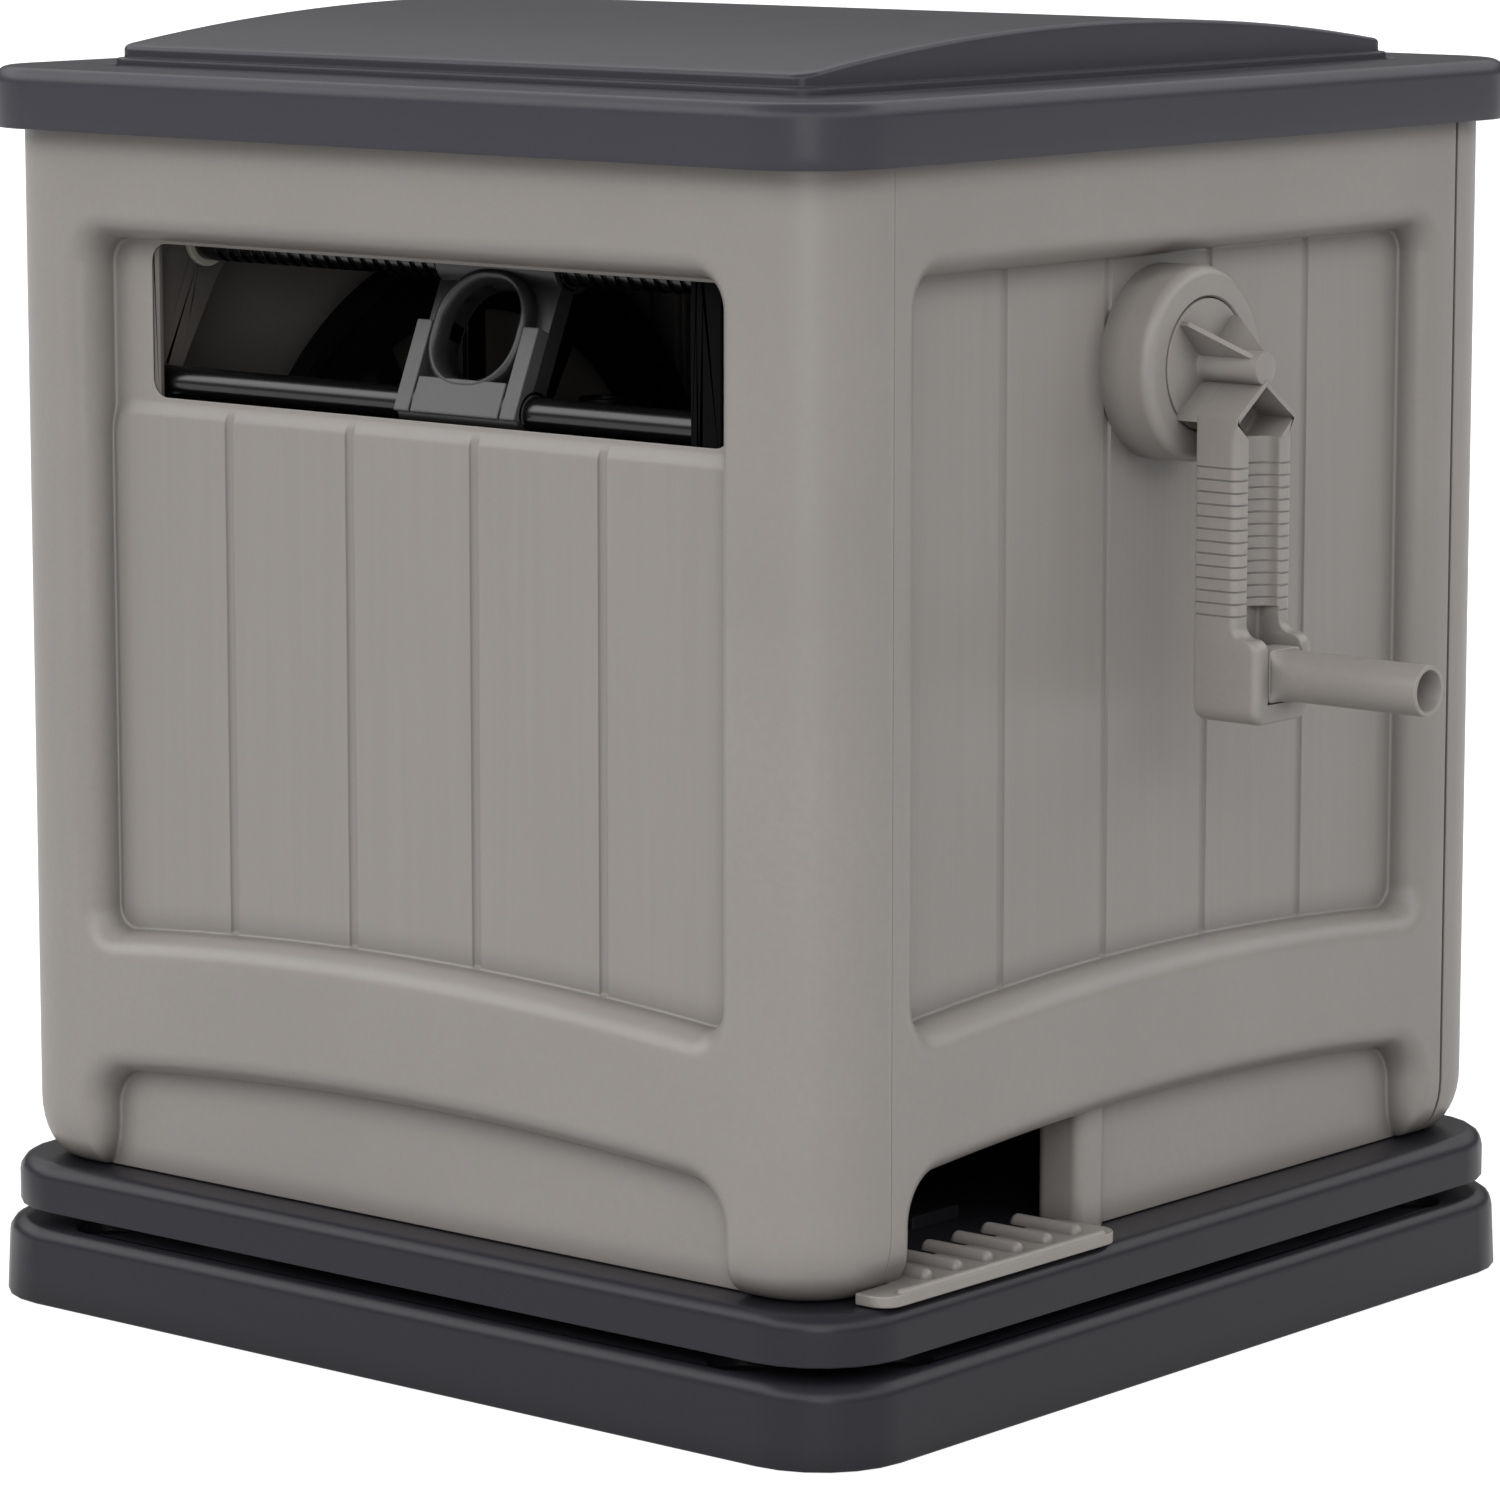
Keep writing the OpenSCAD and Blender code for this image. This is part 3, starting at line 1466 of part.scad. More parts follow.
module right_flange() {
    color([0.11, 0.11, 0.12])
        difference() {
            union() {
                along_x(flange_right, 0, reel_z)
                    flange(journal_bore);
                along_x(flange_right - flange_t, 0, reel_z)
                    ring(journal_d, journal_bore, inner_x - flange_right + flange_t - face_gap);
            }
            tie_spots()
                translate([0, 0, -2 * flange_t])
                    cylinder(d = screw_d, h = 3 * flange_t);
            gear_screw_spots()
                cylinder(d = screw_d, h = 4 * flange_t, center = true);
        }
}

module tie_screws() {
    color([0.6, 0.61, 0.62])
        tie_spots()
            screw(tie_len);
}

module reel_gear() {
    color([0.2, 0.2, 0.21])
        difference() {
            union() {
                along_x(gear_x, 0, reel_z)
                    wheel(reel_teeth, 0, journal_d, boss_d);
                gear_screw_spots()
                    cylinder(d = tie_post_d, h = gear_x - flange_right + gear_web);
            }
            gear_screw_spots()
                translate([0, 0, -overrun])
                    cylinder(d = screw_d, h = gear_t);
        }
}

// Places for the screws that hold the reel gear, on the flange's outer face
module gear_screw_spots() {
    for (i = [0:3])
        translate([flange_right, (reel_gear_r - 3 * gear_rim) * cos(90 * i + 45),
                reel_z + (reel_gear_r - 3 * gear_rim) * sin(90 * i + 45)])
            rotate([0, 90, 0])
                children();
}

module gear_screws() {
    color([0.6, 0.61, 0.62])
        gear_screw_spots()
            translate([0, 0, gear_x - flange_right + gear_web])
                screw(gear_x - flange_right + gear_web + flange_t);
}

module right_bearing() {
    color([0.88, 0.87, 0.82])
        along_x(inner_x - boss_len + wall, 0, reel_z)
            ring(bearing_d, journal_d + 2 * run_gap, boss_len - wall);
}

module left_bush() {
    color([0.88, 0.87, 0.82])
        along_x(-flange_left, 0, reel_z)
            ring(hub_d - 2 * wall, spindle_d + 2 * run_gap, flange_left - spindle_in - face_gap);
}

module inlet_spindle() {
    color([0.16, 0.16, 0.17])
        difference() {
            union() {
                along_x(-inner_x, 0, reel_z)
                    cylinder(d = spindle_d, h = inner_x - spindle_in + socket_len / 2);
                along_x(-inner_x, 0, reel_z)
                    cylinder(d = spindle_foot_d, h = spindle_foot_t);
                translate([-branch_x, 0, reel_z - branch_len + thread_len])
                    cylinder(d = branch_d, h = branch_len - thread_len);
                translate([-branch_x, 0, reel_z - branch_len])
                    cylinder(d = thread_d, h = branch_len);
            }
            along_x(-branch_x - water_d / 2, 0, reel_z)
                cylinder(d = water_d, h = box_w);
            translate([-branch_x, 0, reel_z - branch_len - overrun])
                cylinder(d = water_d, h = branch_len + overrun);
            inlet_seal_grooves();
        }
}

// Positions of the two seals near the spindle's inner end
function seal_x(i) = -spindle_in + socket_len / 2 - seal_pitch * (i + 1);

module inlet_seal_grooves() {
    for (i = [0, 1])
        along_x(seal_x(i) - seal_d / 2, 0, reel_z)
            ring(spindle_d + 2 * overrun, spindle_d - 2 * seal_d + 2 * run_gap, seal_d);
}

module inlet_seals() {
    color([0.06, 0.06, 0.06])
        for (i = [0, 1])
            along_x(seal_x(i), 0, reel_z)
                rotate_extrude()
                    translate([spindle_d / 2 - seal_d / 2 + run_gap, 0])
                        circle(d = seal_d);
}

module supply_tube() {
    color([0.16, 0.16, 0.17])
        difference() {
            union() {
                along_x(-spindle_in, 0, reel_z)
                    cylinder(d = socket_d, h = socket_len);
                translate([outlet_x(), 0, reel_z])
                    cylinder(d = tube_d, h = drum_r);
            }
            along_x(-spindle_in - overrun, 0, reel_z)
                cylinder(d = spindle_d + 4 * run_gap, h = socket_len / 2 + face_gap + overrun);
            along_x(-spindle_in, 0, reel_z)
                cylinder(d = water_d, h = socket_len - wall);
            translate([outlet_x(), 0, reel_z])
                cylinder(d = water_d, h = drum_r + overrun);
        }
}

module outlet_fitting() {
    color([0.16, 0.16, 0.17])
        translate([outlet_x(), 0, reel_z + drum_r])
            difference() {
                union() {
                    cylinder(d = outlet_collar_d, h = outlet_collar_t);
                    cylinder(d = thread_d, h = outlet_len);
                }
                translate([0, 0, -overrun])
                    cylinder(d = water_d, h = outlet_len + 2 * overrun);
            }
}

module idler_axle() {
    color([0.68, 0.69, 0.7])
        along_x(gear_x - 2 * clip_t, idler_y, idler_z)
            cylinder(d = idler_axle_d, h = inner_x - gear_x + 2 * clip_t);
}

module idler_gear() {
    color([0.2, 0.2, 0.21])
        along_x(gear_x, idler_y, idler_z)
            wheel(idler_teeth, idler_turn, idler_axle_d + 2 * run_gap, gear_hub_d);
}

module idler_clip() {
    color([0.7, 0.71, 0.72])
        along_x(gear_x - clip_t - face_gap, idler_y, idler_z)
            ring(clip_d, idler_axle_d, clip_t);
}

module guide_rod() {
    color([0.07, 0.07, 0.08])
        along_x(-bracket_x, -rod_y, rod_z)
            cylinder(d = rod_d, h = 2 * bracket_x);
}

// Bracket outline round the rod and the screw, drawn with z along X
module bracket(x) {
    difference() {
        union() {
            along_x(x, -rod_y, rod_z)
                cylinder(d = rod_d + bracket_rim, h = bracket_t);
            along_x(x, -lead_y, lead_z)
                cylinder(d = lead_bush_d + 2 * bracket_rim, h = bracket_t);
            along_x(x, 0, 0)
                linear_extrude(bracket_t)
                    polygon([[-inner_y, rod_z - rod_d], [-rod_y, rod_z - rod_d],
                        [-lead_y + lead_bush_d / 2 + bracket_rim, lead_z],
                        [-lead_y, lead_z + lead_bush_d / 2 + bracket_rim],
                        [-inner_y, rod_z - rod_d + bracket_foot_h]]);
            translate([x + (x > 0 ? bracket_t - bracket_foot_w : 0), -inner_y, rod_z - rod_d])
                cube([bracket_foot_w, bracket_foot_t / 2, bracket_foot_h]);
        }
        along_x(x - overrun, -rod_y, rod_z)
            cylinder(d = rod_d, h = bracket_t + 2 * overrun);
        along_x(x - overrun, -lead_y, lead_z)
            cylinder(d = lead_bush_d, h = bracket_t + 2 * overrun);
        bracket_screw_spots()
            cylinder(d = screw_d, h = 3 * wall, center = true);
    }
}

// Screws of the brackets, on the inner face of the front panel
module bracket_screw_spots() {
    for (s = [-1, 1])
        for (z = [rod_z - rod_d / 2 - screw_head_d / 2, rod_z - rod_d + bracket_foot_h - screw_head_d / 2])
            translate([s * (bracket_x - bracket_foot_w + screw_head_d / 2 + overrun), -inner_y, z])
                rotate([-90, 0, 0])
                    children();
}

module left_bracket() {
    color([0.16, 0.16, 0.17])
        bracket(-bracket_x);
}

module right_bracket() {
    color([0.16, 0.16, 0.17])
        bracket(bracket_x - bracket_t);
}

module bracket_screws() {
    color([0.6, 0.61, 0.62])
        bracket_screw_spots()
            translate([0, 0, bracket_foot_t / 2])
                screw(bracket_foot_t / 2 + wall - groove_d);
}

module bracket_bushes() {
    color([0.88, 0.87, 0.82])
        for (s = [-1, 1])
            translate([0, -lead_y, lead_z])
                rotate([0, s * 90, 0])
                    translate([0, 0, bracket_x - bracket_t - lead_collar_t]) {
                        ring(lead_collar_d, lead_journal_d + 2 * run_gap, lead_collar_t);
                        ring(lead_bush_d, lead_journal_d + 2 * run_gap, bracket_t + lead_collar_t);
                    }
}

module lead_screw() {
    half = bracket_x - bracket_t - lead_collar_t - face_gap;
    count = floor((2 * half - 2 * lead_pitch) / lead_pitch);
    color([0.09, 0.09, 0.1])
        difference() {
            union() {
                along_x(-half, -lead_y, lead_z)
                    cylinder(d = lead_d, h = 2 * half);
                along_x(-bracket_x, -lead_y, lead_z)
                    cylinder(d = lead_journal_d, h = bracket_x + gear_out);
            }
            for (i = [0:count - 1])
                along_x((i - (count - 1) / 2) * lead_pitch - lead_track_w / 2, -lead_y, lead_z)
                    ring(lead_d + 2 * overrun, lead_d - 2 * lead_track_d, lead_track_w);
        }
}

module screw_gear() {
    color([0.2, 0.2, 0.21])
        along_x(gear_x, -lead_y, lead_z)
            wheel(screw_teeth, screw_turn, lead_journal_d, gear_hub_d);
}

// Places children in the guide's leaning frame: x across, y through the eye, z from the rod to the screw
module in_guide() {
    translate([guide_x, -rod_y, rod_z])
        rotate([lean, 0, 0])
            children();
}

module hose_guide() {
    color([0.3, 0.3, 0.3])
        difference() {
            union() {
                in_guide() {
                    translate([-guide_w / 2, 0, 0])
                        rotate([0, 90, 0])
                            cylinder(d = rod_d + 2 * sleeve_wall, h = guide_w);
                    translate([-guide_w / 2, 0, guide_span])
                        rotate([0, 90, 0])
                            cylinder(d = lead_d + 2 * sleeve_wall, h = guide_w);
                    translate([-guide_w / 2, -guide_t / 2, 0])
                        cube([guide_w, guide_t, guide_span]);
                    translate([0, guide_t / 2, eye_mid])
                        rotate([90, 0, 0])
                            linear_extrude(guide_t + lip_h)
                                polygon(rr_loop(eye_w / 2 + lip_w, eye_h / 2 + lip_w, eye_r + lip_w));
                }
            }
            in_guide() {
                translate([0, guide_t, eye_mid])
                    rotate([90, 0, 0])
                        linear_extrude(3 * guide_t)
                            polygon(rr_loop(eye_w / 2, eye_h / 2, eye_r));
                translate([-guide_w, 0, 0])
                    rotate([0, 90, 0])
                        cylinder(d = rod_d + 2 * guide_gap, h = 2 * guide_w);
                translate([-guide_w, 0, guide_span])
                    rotate([0, 90, 0])
                        cylinder(d = lead_d + 2 * guide_gap, h = 2 * guide_w);
                translate([0, 0, guide_span])
                    cylinder(d = follower_d, h = lead_d + sleeve_wall);
            }
        }
}

module track_follower() {
    color([0.75, 0.74, 0.7])
        in_guide() {
            translate([0, 0, guide_span + lead_d / 2 + guide_gap])
                cylinder(d = follower_d, h = sleeve_wall);
            translate([0, 0, guide_span + lead_d / 2 + sleeve_wall])
                cylinder(d = follower_cap_d, h = follower_cap_t);
        }
}

lower_base();
pivot_bolt();
pivot_washer();
pivot_nut();
ball_cage();
bearing_balls();
swivel_plate();
swivel_bush();
foot_screws();
front_panel();
rear_panel();
left_panel();
right_panel();
panel_screws();
lid();
hinge_pins();
crank_housing();
housing_screws();
crank_bush();
crank_shaft();
crank_pinion();
crank_screw();
crank_arm();
grip_pin();
crank_grip();
reel_drum();
left_flange();
right_flange();
tie_screws();
reel_gear();
gear_screws();
right_bearing();
left_bush();
inlet_spindle();
inlet_seals();
supply_tube();
outlet_fitting();
idler_axle();
idler_gear();
idler_clip();
guide_rod();
left_bracket();
right_bracket();
bracket_screws();
bracket_bushes();
lead_screw();
screw_gear();
hose_guide();
track_follower();
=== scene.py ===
import json
from math import copysign, cos, hypot, pi, radians, sin

import bpy
import numpy as np
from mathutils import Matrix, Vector

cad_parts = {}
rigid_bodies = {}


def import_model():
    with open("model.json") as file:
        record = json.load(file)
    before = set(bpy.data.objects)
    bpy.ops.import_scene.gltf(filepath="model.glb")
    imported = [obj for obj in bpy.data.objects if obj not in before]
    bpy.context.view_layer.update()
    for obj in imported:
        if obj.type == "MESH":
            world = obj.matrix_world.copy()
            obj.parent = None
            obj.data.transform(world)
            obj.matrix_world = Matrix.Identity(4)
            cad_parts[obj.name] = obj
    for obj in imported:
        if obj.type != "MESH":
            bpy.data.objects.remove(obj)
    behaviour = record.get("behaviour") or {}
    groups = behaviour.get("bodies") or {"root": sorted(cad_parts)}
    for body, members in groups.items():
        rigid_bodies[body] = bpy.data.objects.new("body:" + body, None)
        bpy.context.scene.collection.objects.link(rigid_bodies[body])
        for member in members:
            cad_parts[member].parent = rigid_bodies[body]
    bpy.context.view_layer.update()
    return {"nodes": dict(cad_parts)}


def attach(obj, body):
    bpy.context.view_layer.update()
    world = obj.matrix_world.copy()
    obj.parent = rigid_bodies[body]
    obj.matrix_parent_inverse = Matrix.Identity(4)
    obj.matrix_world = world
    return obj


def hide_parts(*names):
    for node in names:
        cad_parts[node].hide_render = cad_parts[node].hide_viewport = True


for leftover in list(bpy.data.objects):
    bpy.data.objects.remove(leftover)
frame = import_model()
NODES = frame["nodes"]
SCENE = bpy.context.scene
MM, TINY, JOIN_GRID = 0.001, 1e-6, 1e-3

# Sizes in millimetres, those of the CAD model unless a comment says otherwise
HALF_W, HALF_D, BOX_R = 263.3, 269.25, 45.0
BOX_Z, BOX_TOP, WALL = 70.5, 606.0, 4.0
FOOT_ROUND, FOOT_RISE, FOOT_FLANGE = 18.0, 30.0, 78.0
SEAM_Y, SEAM_GAP, FRONT_GAP, REAR_GAP = 221.0, 0.8, 0.05, 1.0
RECESS, RUN, FILLET = 18.0, 13.5, 1.5
FIELD_HALF, FIELD_TOP, FIELD_LOW, FIELD_R = 197.5, 529.0, 199.0, 12.0
ARCH_R = 2005.0
PLANK_PITCH, PLANK_SEAMS = 79.0, (-1.5, -0.5, 0.5, 1.5)
SLOT_LEFT, SLOT_RIGHT, SLOT_LOW, SLOT_HIGH, SLOT_R = -172.0, 191.8, 453.0, 527.0, 9.0
TRAY_TOP, TRAY_DEEPER = 446.0, 3.2
INLET_BACK, INLET_MID, INLET_REACH, INLET_FLANGE = 62.0, -30.0, 40.0, 26.0
FLOOR_X = HALF_W - RECESS
INNER_X = FLOOR_X - WALL
PLATE_IN, PLATE_OUT = HALF_W - 24, HALF_W - 3
REEL_Z, CRANK_Z = 338.0, 478.0
IDLER_Y, IDLER_Z = -107.102, 491.902
HINGE_Y, HINGE_Z, HINGE_X = 288.25, 571.8, 150.0
KNUCKLE_R, KNUCKLE_W, LUG_W, HINGE_GAP = 8.0, 30.0, 14.0, 0.4
LID_W, LID_D, LID_LOW, LID_TOP = 544.2, 562.0, 580.8, 610.0
CROWN_W, CROWN_D, CROWN_R = 217.0, 226.0, 10.0
RIDGE_Z, CROWN_ARCH = 635.5, 1556.0
# Not as in the CAD: a wider apron between feet with rounded toes, and a less rounded lid edge
APRON_HALF, APRON_TOP, APRON_R = 199.0, 129.0, 20.0
TOE, TOE_RISE = 9.0, 28.0
LID_EDGE_R = 7.5

# Noise cells per metre, and heights and reaches in metres, of the moulded plastic
CLOUD, FLOW, WEAR, GLOSS, PEBBLE = 7.0, 260.0, 45.0, 30.0, 1500.0
GRAIN, FLECK = (120.0, 120.0, 3.2), (420.0, 420.0, 14.0)
# The reach, share and tone of the crevice darkening set painted shade: ambient occlusion darkens the base
# colour in crevices, hollows and gaps
PEBBLE_HEIGHT, GRAIN_HEIGHT, SHADE_REACH = 0.0004, 0.0008, 0.014
SHADE_SHARE, SHADE_TONE, WORN_TONE, GLOSS_SPREAD = 0.55, 0.22, 1.35, 0.015
WHITE = (1, 1, 1, 1)


# materials
def srgb(r, g, b):
    return tuple(((c / 255 + 0.055) / 1.055) ** 2.4 for c in (r, g, b)) + (1.0,)


def scaled(color, k):
    return tuple(min(1.0, c * k) for c in color[:3]) + (1.0,)


class Graph:
    """Adds nodes to a node tree and links them."""

    def __init__(self, tree):
        self.tree = tree

    def put(self, socket, value):
        if isinstance(value, bpy.types.NodeSocket):
            self.tree.links.new(value, socket)
        else:
            socket.default_value = value

    def node(self, kind, **inputs):
        n = self.tree.nodes.new("ShaderNode" + kind)
        for key, value in inputs.items():
            self.put(n.inputs[key.replace("_", " ")], value)
        return n

    def noise(self, vector, scale, detail, rough=0.55, distortion=0.0):
        return self.node("TexNoise", Vector=vector, Scale=scale, Detail=detail, Roughness=rough,
                         Distortion=distortion).outputs["Fac"]

    def ranged(self, value, low, high, to_low=0.0, to_high=1.0, curve="LINEAR"):
        n = self.node("MapRange", Value=value, From_Min=low, From_Max=high, To_Min=to_low,
                      To_Max=to_high)
        n.interpolation_type = curve
        return n.outputs["Result"]

    def calc(self, operation, *values):
        n = self.node("Math")
        n.operation = operation
        for socket, value in zip(n.inputs, values):
            self.put(socket, value)
        return n.outputs[0]

    def times(self, a, b):
        return self.calc("MULTIPLY", a, b)

    def blend(self, factor, a, b):
        n = self.node("Mix")
        n.data_type = "RGBA"
        for index, value in ((0, factor), (6, a), (7, b)):
            self.put(n.inputs[index], value)
        return n.outputs[2]

    def bump(self, height, strength, distance, **normal):
        n = self.node("Bump", Height=height, Strength=strength, Distance=distance, **normal)
        return n.outputs["Normal"]


def new_material(name):
    """New material with its graph and its shader's inputs."""
    material = bpy.data.materials.new(name)
    material.use_nodes = True
    return material, Graph(material.node_tree), material.node_tree.nodes["Principled BSDF"].inputs


def wood_grain(g, at, color, base, skin):
    """Adds the planks' moulded grain to a colour and a normal."""
    board = g.node("Attribute")
    board.attribute_name = "plank"
    mask = board.outputs["Fac"]
    grain_at = g.node("Mapping", Vector=at, Scale=GRAIN).outputs["Vector"]
    fleck_at = g.node("Mapping", Vector=at, Scale=FLECK).outputs["Vector"]
    grain, fleck = g.noise(grain_at, 1.0, 6.0, 0.62, 0.9), g.noise(fleck_at, 1.0, 4.0, 0.6, 0.4)
    tone = g.blend(g.ranged(grain, 0.38, 0.66), scaled(color, 0.975), scaled(color, 1.02))
    tone = g.blend(g.ranged(fleck, 0.64, 0.76, 0.0, 0.2), tone, scaled(color, 0.8))
    base = g.blend(g.times(mask, 0.85), base, tone)
    height = g.calc("ADD", g.times(grain, 0.7), g.times(fleck, 0.3))
    return base, g.bump(g.times(height, mask), 0.2, GRAIN_HEIGHT, Normal=skin)


def plastic(name, color, rough, pebble=0.12, tint=0.05, spec=0.45, planks=False):
    """Moulded plastic: pebbled skin, flow marks, worn convex edges, and painted shade that darkens its
    crevices.
    """
    material, g, look = new_material(name)
    at = g.node("TexCoord").outputs["Object"]
    cloud = g.ranged(g.noise(at, CLOUD, 4.0), 0.3, 0.7)
    base = g.blend(cloud, scaled(color, 1 - tint), scaled(color, 1 + tint))
    flow = g.ranged(g.noise(at, FLOW, 3.0), 0.35, 0.65, 0.0, 0.35)
    base = g.blend(flow, base, scaled(color, 1 - 1.6 * tint))
    edge = g.ranged(g.node("NewGeometry").outputs["Pointiness"], 0.52, 0.62, 0.0, 0.25)
    worn = g.times(edge, g.ranged(g.noise(at, WEAR, 5.0), 0.4, 0.7, 0.2, 1.0))
    base = g.blend(worn, base, scaled(color, WORN_TONE))
    skin = g.bump(g.noise(at, PEBBLE, 2.0), pebble, PEBBLE_HEIGHT)
    if planks:
        base, skin = wood_grain(g, at, color, base, skin)
    # Painted shade: where ambient occlusion finds crevices, hollows and gaps, the base colour is mixed
    # towards a darker copy
    crevice_shade = g.node("AmbientOcclusion", Distance=SHADE_REACH)
    crevice_shade.samples = 2
    painted_shade = g.ranged(crevice_shade.outputs["AO"], 0.45, 0.95, SHADE_SHARE, 0.0)
    g.put(look["Base Color"], g.blend(painted_shade, base, scaled(color, SHADE_TONE)))
    gloss = g.ranged(g.noise(at, GLOSS, 4.0), 0.3, 0.7, rough - GLOSS_SPREAD, rough + GLOSS_SPREAD)
    g.put(look["Roughness"], gloss)
    g.put(look["Normal"], skin)
    g.put(look["Specular IOR Level"], spec)
    return material


def steel(name, color, rough):
    """Turned and plated steel with fine ring marks."""
    material, g, look = new_material(name)
    at = g.node("TexCoord").outputs["Object"]
    cloud = g.ranged(g.noise(at, 40.0, 5.0), 0.3, 0.7)
    g.put(look["Base Color"], g.blend(cloud, scaled(color, 0.85), color))
    gloss = g.ranged(g.noise(at, 300.0, 4.0), 0.3, 0.7, rough - 0.08, rough + 0.08)
    g.put(look["Roughness"], gloss)
    lines_at = g.node("Mapping", Vector=at, Scale=(2500.0, 300.0, 300.0)).outputs["Vector"]
    g.put(look["Normal"], g.bump(g.noise(lines_at, 1.0, 2.0), 0.15, 0.0002))
    g.put(look["Metallic"], 1.0)
    return material


TAUPE = plastic("taupe_moulded", srgb(147, 142, 138), 0.36, pebble=0.07, planks=True)
CRANK_TAUPE = plastic("taupe_crank", srgb(150, 145, 141), 0.36, pebble=0.07)
LID_DARK = plastic("charcoal_lid", srgb(62, 61, 68), 0.32, pebble=0.04, tint=0.02, spec=0.22)
BASE_DARK = plastic("charcoal_base", srgb(41, 40, 46), 0.32, pebble=0.04, tint=0.02, spec=0.25)
# The guide is one grey plastic: its strips take the lit grey, its body and eye lip a darker copy that is
# painted shade
GUIDE_DARK = plastic("charcoal_guide", srgb(82, 82, 82), 0.45, tint=0.06)
GUIDE_PAINTED_SHADE = plastic("guide_grey_painted_shade", srgb(44, 44, 45), 0.35, tint=0.06)
# Painted shade: a darker copy of the box's taupe for a part inside the box, standing for the shade there
TAUPE_PAINTED_SHADE = plastic("taupe_painted_shade", srgb(104, 99, 95), 0.5)
BLACK = plastic("black_moulded", srgb(24, 24, 25), 0.38, tint=0.1)
# Painted shade: the right bracket, taupe like the box, gets a near-black matt finish standing for the shade
# it sits in
BRACKET_PAINTED_SHADE = plastic("bracket_painted_shade", srgb(9, 9, 10), 0.8, tint=0.1, spec=0.06)
ROD_BLACK = plastic("black_rod", srgb(14, 14, 15), 0.22, pebble=0.03, tint=0.1, spec=0.6)
PALE = plastic("pale_acetal", srgb(214, 210, 198), 0.4, tint=0.03)
RUBBER = plastic("black_rubber", srgb(20, 20, 20), 0.75, pebble=0.3, tint=0.1, spec=0.3)
STEEL = steel("plated_steel", srgb(196, 197, 199), 0.3)


# mesh helpers
def smoothstep(a, b, x):
    t = np.clip((x - a) / (b - a), 0, 1)
    return t * t * (3 - 2 * t)


def linked(name, data):
    """New object of some data, in the scene."""
    obj = bpy.data.objects.new(name, data)
    SCENE.collection.objects.link(obj)
    return obj


def on_grid(points):
    return np.round(points / JOIN_GRID).astype(np.int64)


def quarter(steps):
    """How far a quarter round goes in and up, from 0 to 1."""
    return [(1 - cos(a), sin(a)) for a in (radians(90 * k / steps) for k in range(steps + 1))]


class Soup:
    """Collects points and faces, and joins points that coincide."""

    def __init__(self):
        self.verts, self.faces, self.extra = [], [], []
        self.count = 0

    def add(self, verts, faces, extra=None):
        verts = np.asarray(verts, float).reshape(-1, 3)
        self.verts.append(verts)
        self.extra.append(np.zeros(len(verts)) if extra is None else np.asarray(extra, float).ravel())
        self.faces += [tuple(int(i) + self.count for i in f) for f in faces]
        self.count += len(verts)

    def patch(self, points, mask=None, extra=None, closed=False):
        """Grid of points, rows by columns, as quads; mask leaves cells out."""
        rows, cols = np.shape(points)[:2]
        faces = []
        for i in range(rows - 1):
            for j in range(cols if closed else cols - 1):
                if mask is None or mask[i, j]:
                    k = (j + 1) % cols
                    faces.append((i * cols + j, i * cols + k, (i + 1) * cols + k, (i + 1) * cols + j))
        self.add(points, faces, extra)

    def joined(self):
        verts, extra = np.concatenate(self.verts), np.concatenate(self.extra)
        _, first, index = np.unique(on_grid(verts), axis=0, return_index=True, return_inverse=True)
        index = index.ravel()
        faces = []
        for f in self.faces:
            g = [int(index[i]) for i in f]
            g = [a for n, a in enumerate(g) if a != g[n - 1]]
            if len(set(g)) >= 3:
                faces.append(tuple(g))
        used = np.unique(np.concatenate([np.array(f) for f in faces]))
        remap = -np.ones(len(first), int)
        remap[used] = np.arange(len(used))
        return verts[first][used], [tuple(int(remap[i]) for i in f) for f in faces], extra[first][used]


def soften(obj, width, angle, segments=3):
    """Rounds the edges and weights the normals by face size."""
    mod = obj.modifiers.new("round", "BEVEL")
    mod.width = width * MM
    mod.segments = segments
    mod.limit_method = "ANGLE"
    mod.angle_limit = radians(angle)
    mod.use_clamp_overlap = False
    mod.miter_outer = "MITER_ARC"
    obj.modifiers.new("normals", "WEIGHTED_NORMAL")


def piece(name, shape, body, material, node, sharp=40.0, bevel=0.0, bevel_angle=35.0, plank=None):
    """New piece from a soup, or from points in millimetres with their faces, in place of a CAD node."""
    verts, faces = shape.joined()[:2] if isinstance(shape, Soup) else shape
    mesh = bpy.data.meshes.new(name)
    mesh.from_pydata([tuple(p) for p in verts * MM], [], faces)
    mesh.validate()
    if plank is not None:
        attribute = mesh.attributes.new("plank", "FLOAT", "POINT")
        attribute.data.foreach_set("value", np.asarray(plank, np.float32))
    mesh.materials.append(material)
    obj = linked(name, mesh)
    mesh.shade_smooth()
    mesh.set_sharp_from_angle(angle=radians(sharp))
    if bevel:
        soften(obj, bevel, bevel_angle)
    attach(obj, body)
    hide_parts(node)


def moved(soup, move):
    """Shape of a soup whose points a function takes to their place."""
    verts, faces, _ = soup.joined()
    return move(verts), faces


def turned(cx, cy, r, start, end, steps):
    """Points of an arc, with its angles in degrees."""
    angles = [radians(start + (end - start) * k / steps) for k in range(steps + 1)]
    return [(cx + r * cos(a), cy + r * sin(a)) for a in angles]


def rounded_outline(x0, y0, x1, y1, r, steps=6):
    """Rounded rectangle as (x, y) points, counterclockwise."""
    corners = ((x1 - r, y0 + r, -90), (x1 - r, y1 - r, 0), (x0 + r, y1 - r, 90), (x0 + r, y0 + r, 180))
    return [p for cx, cy, a in corners for p in turned(cx, cy, r, a, a + 90, steps)]


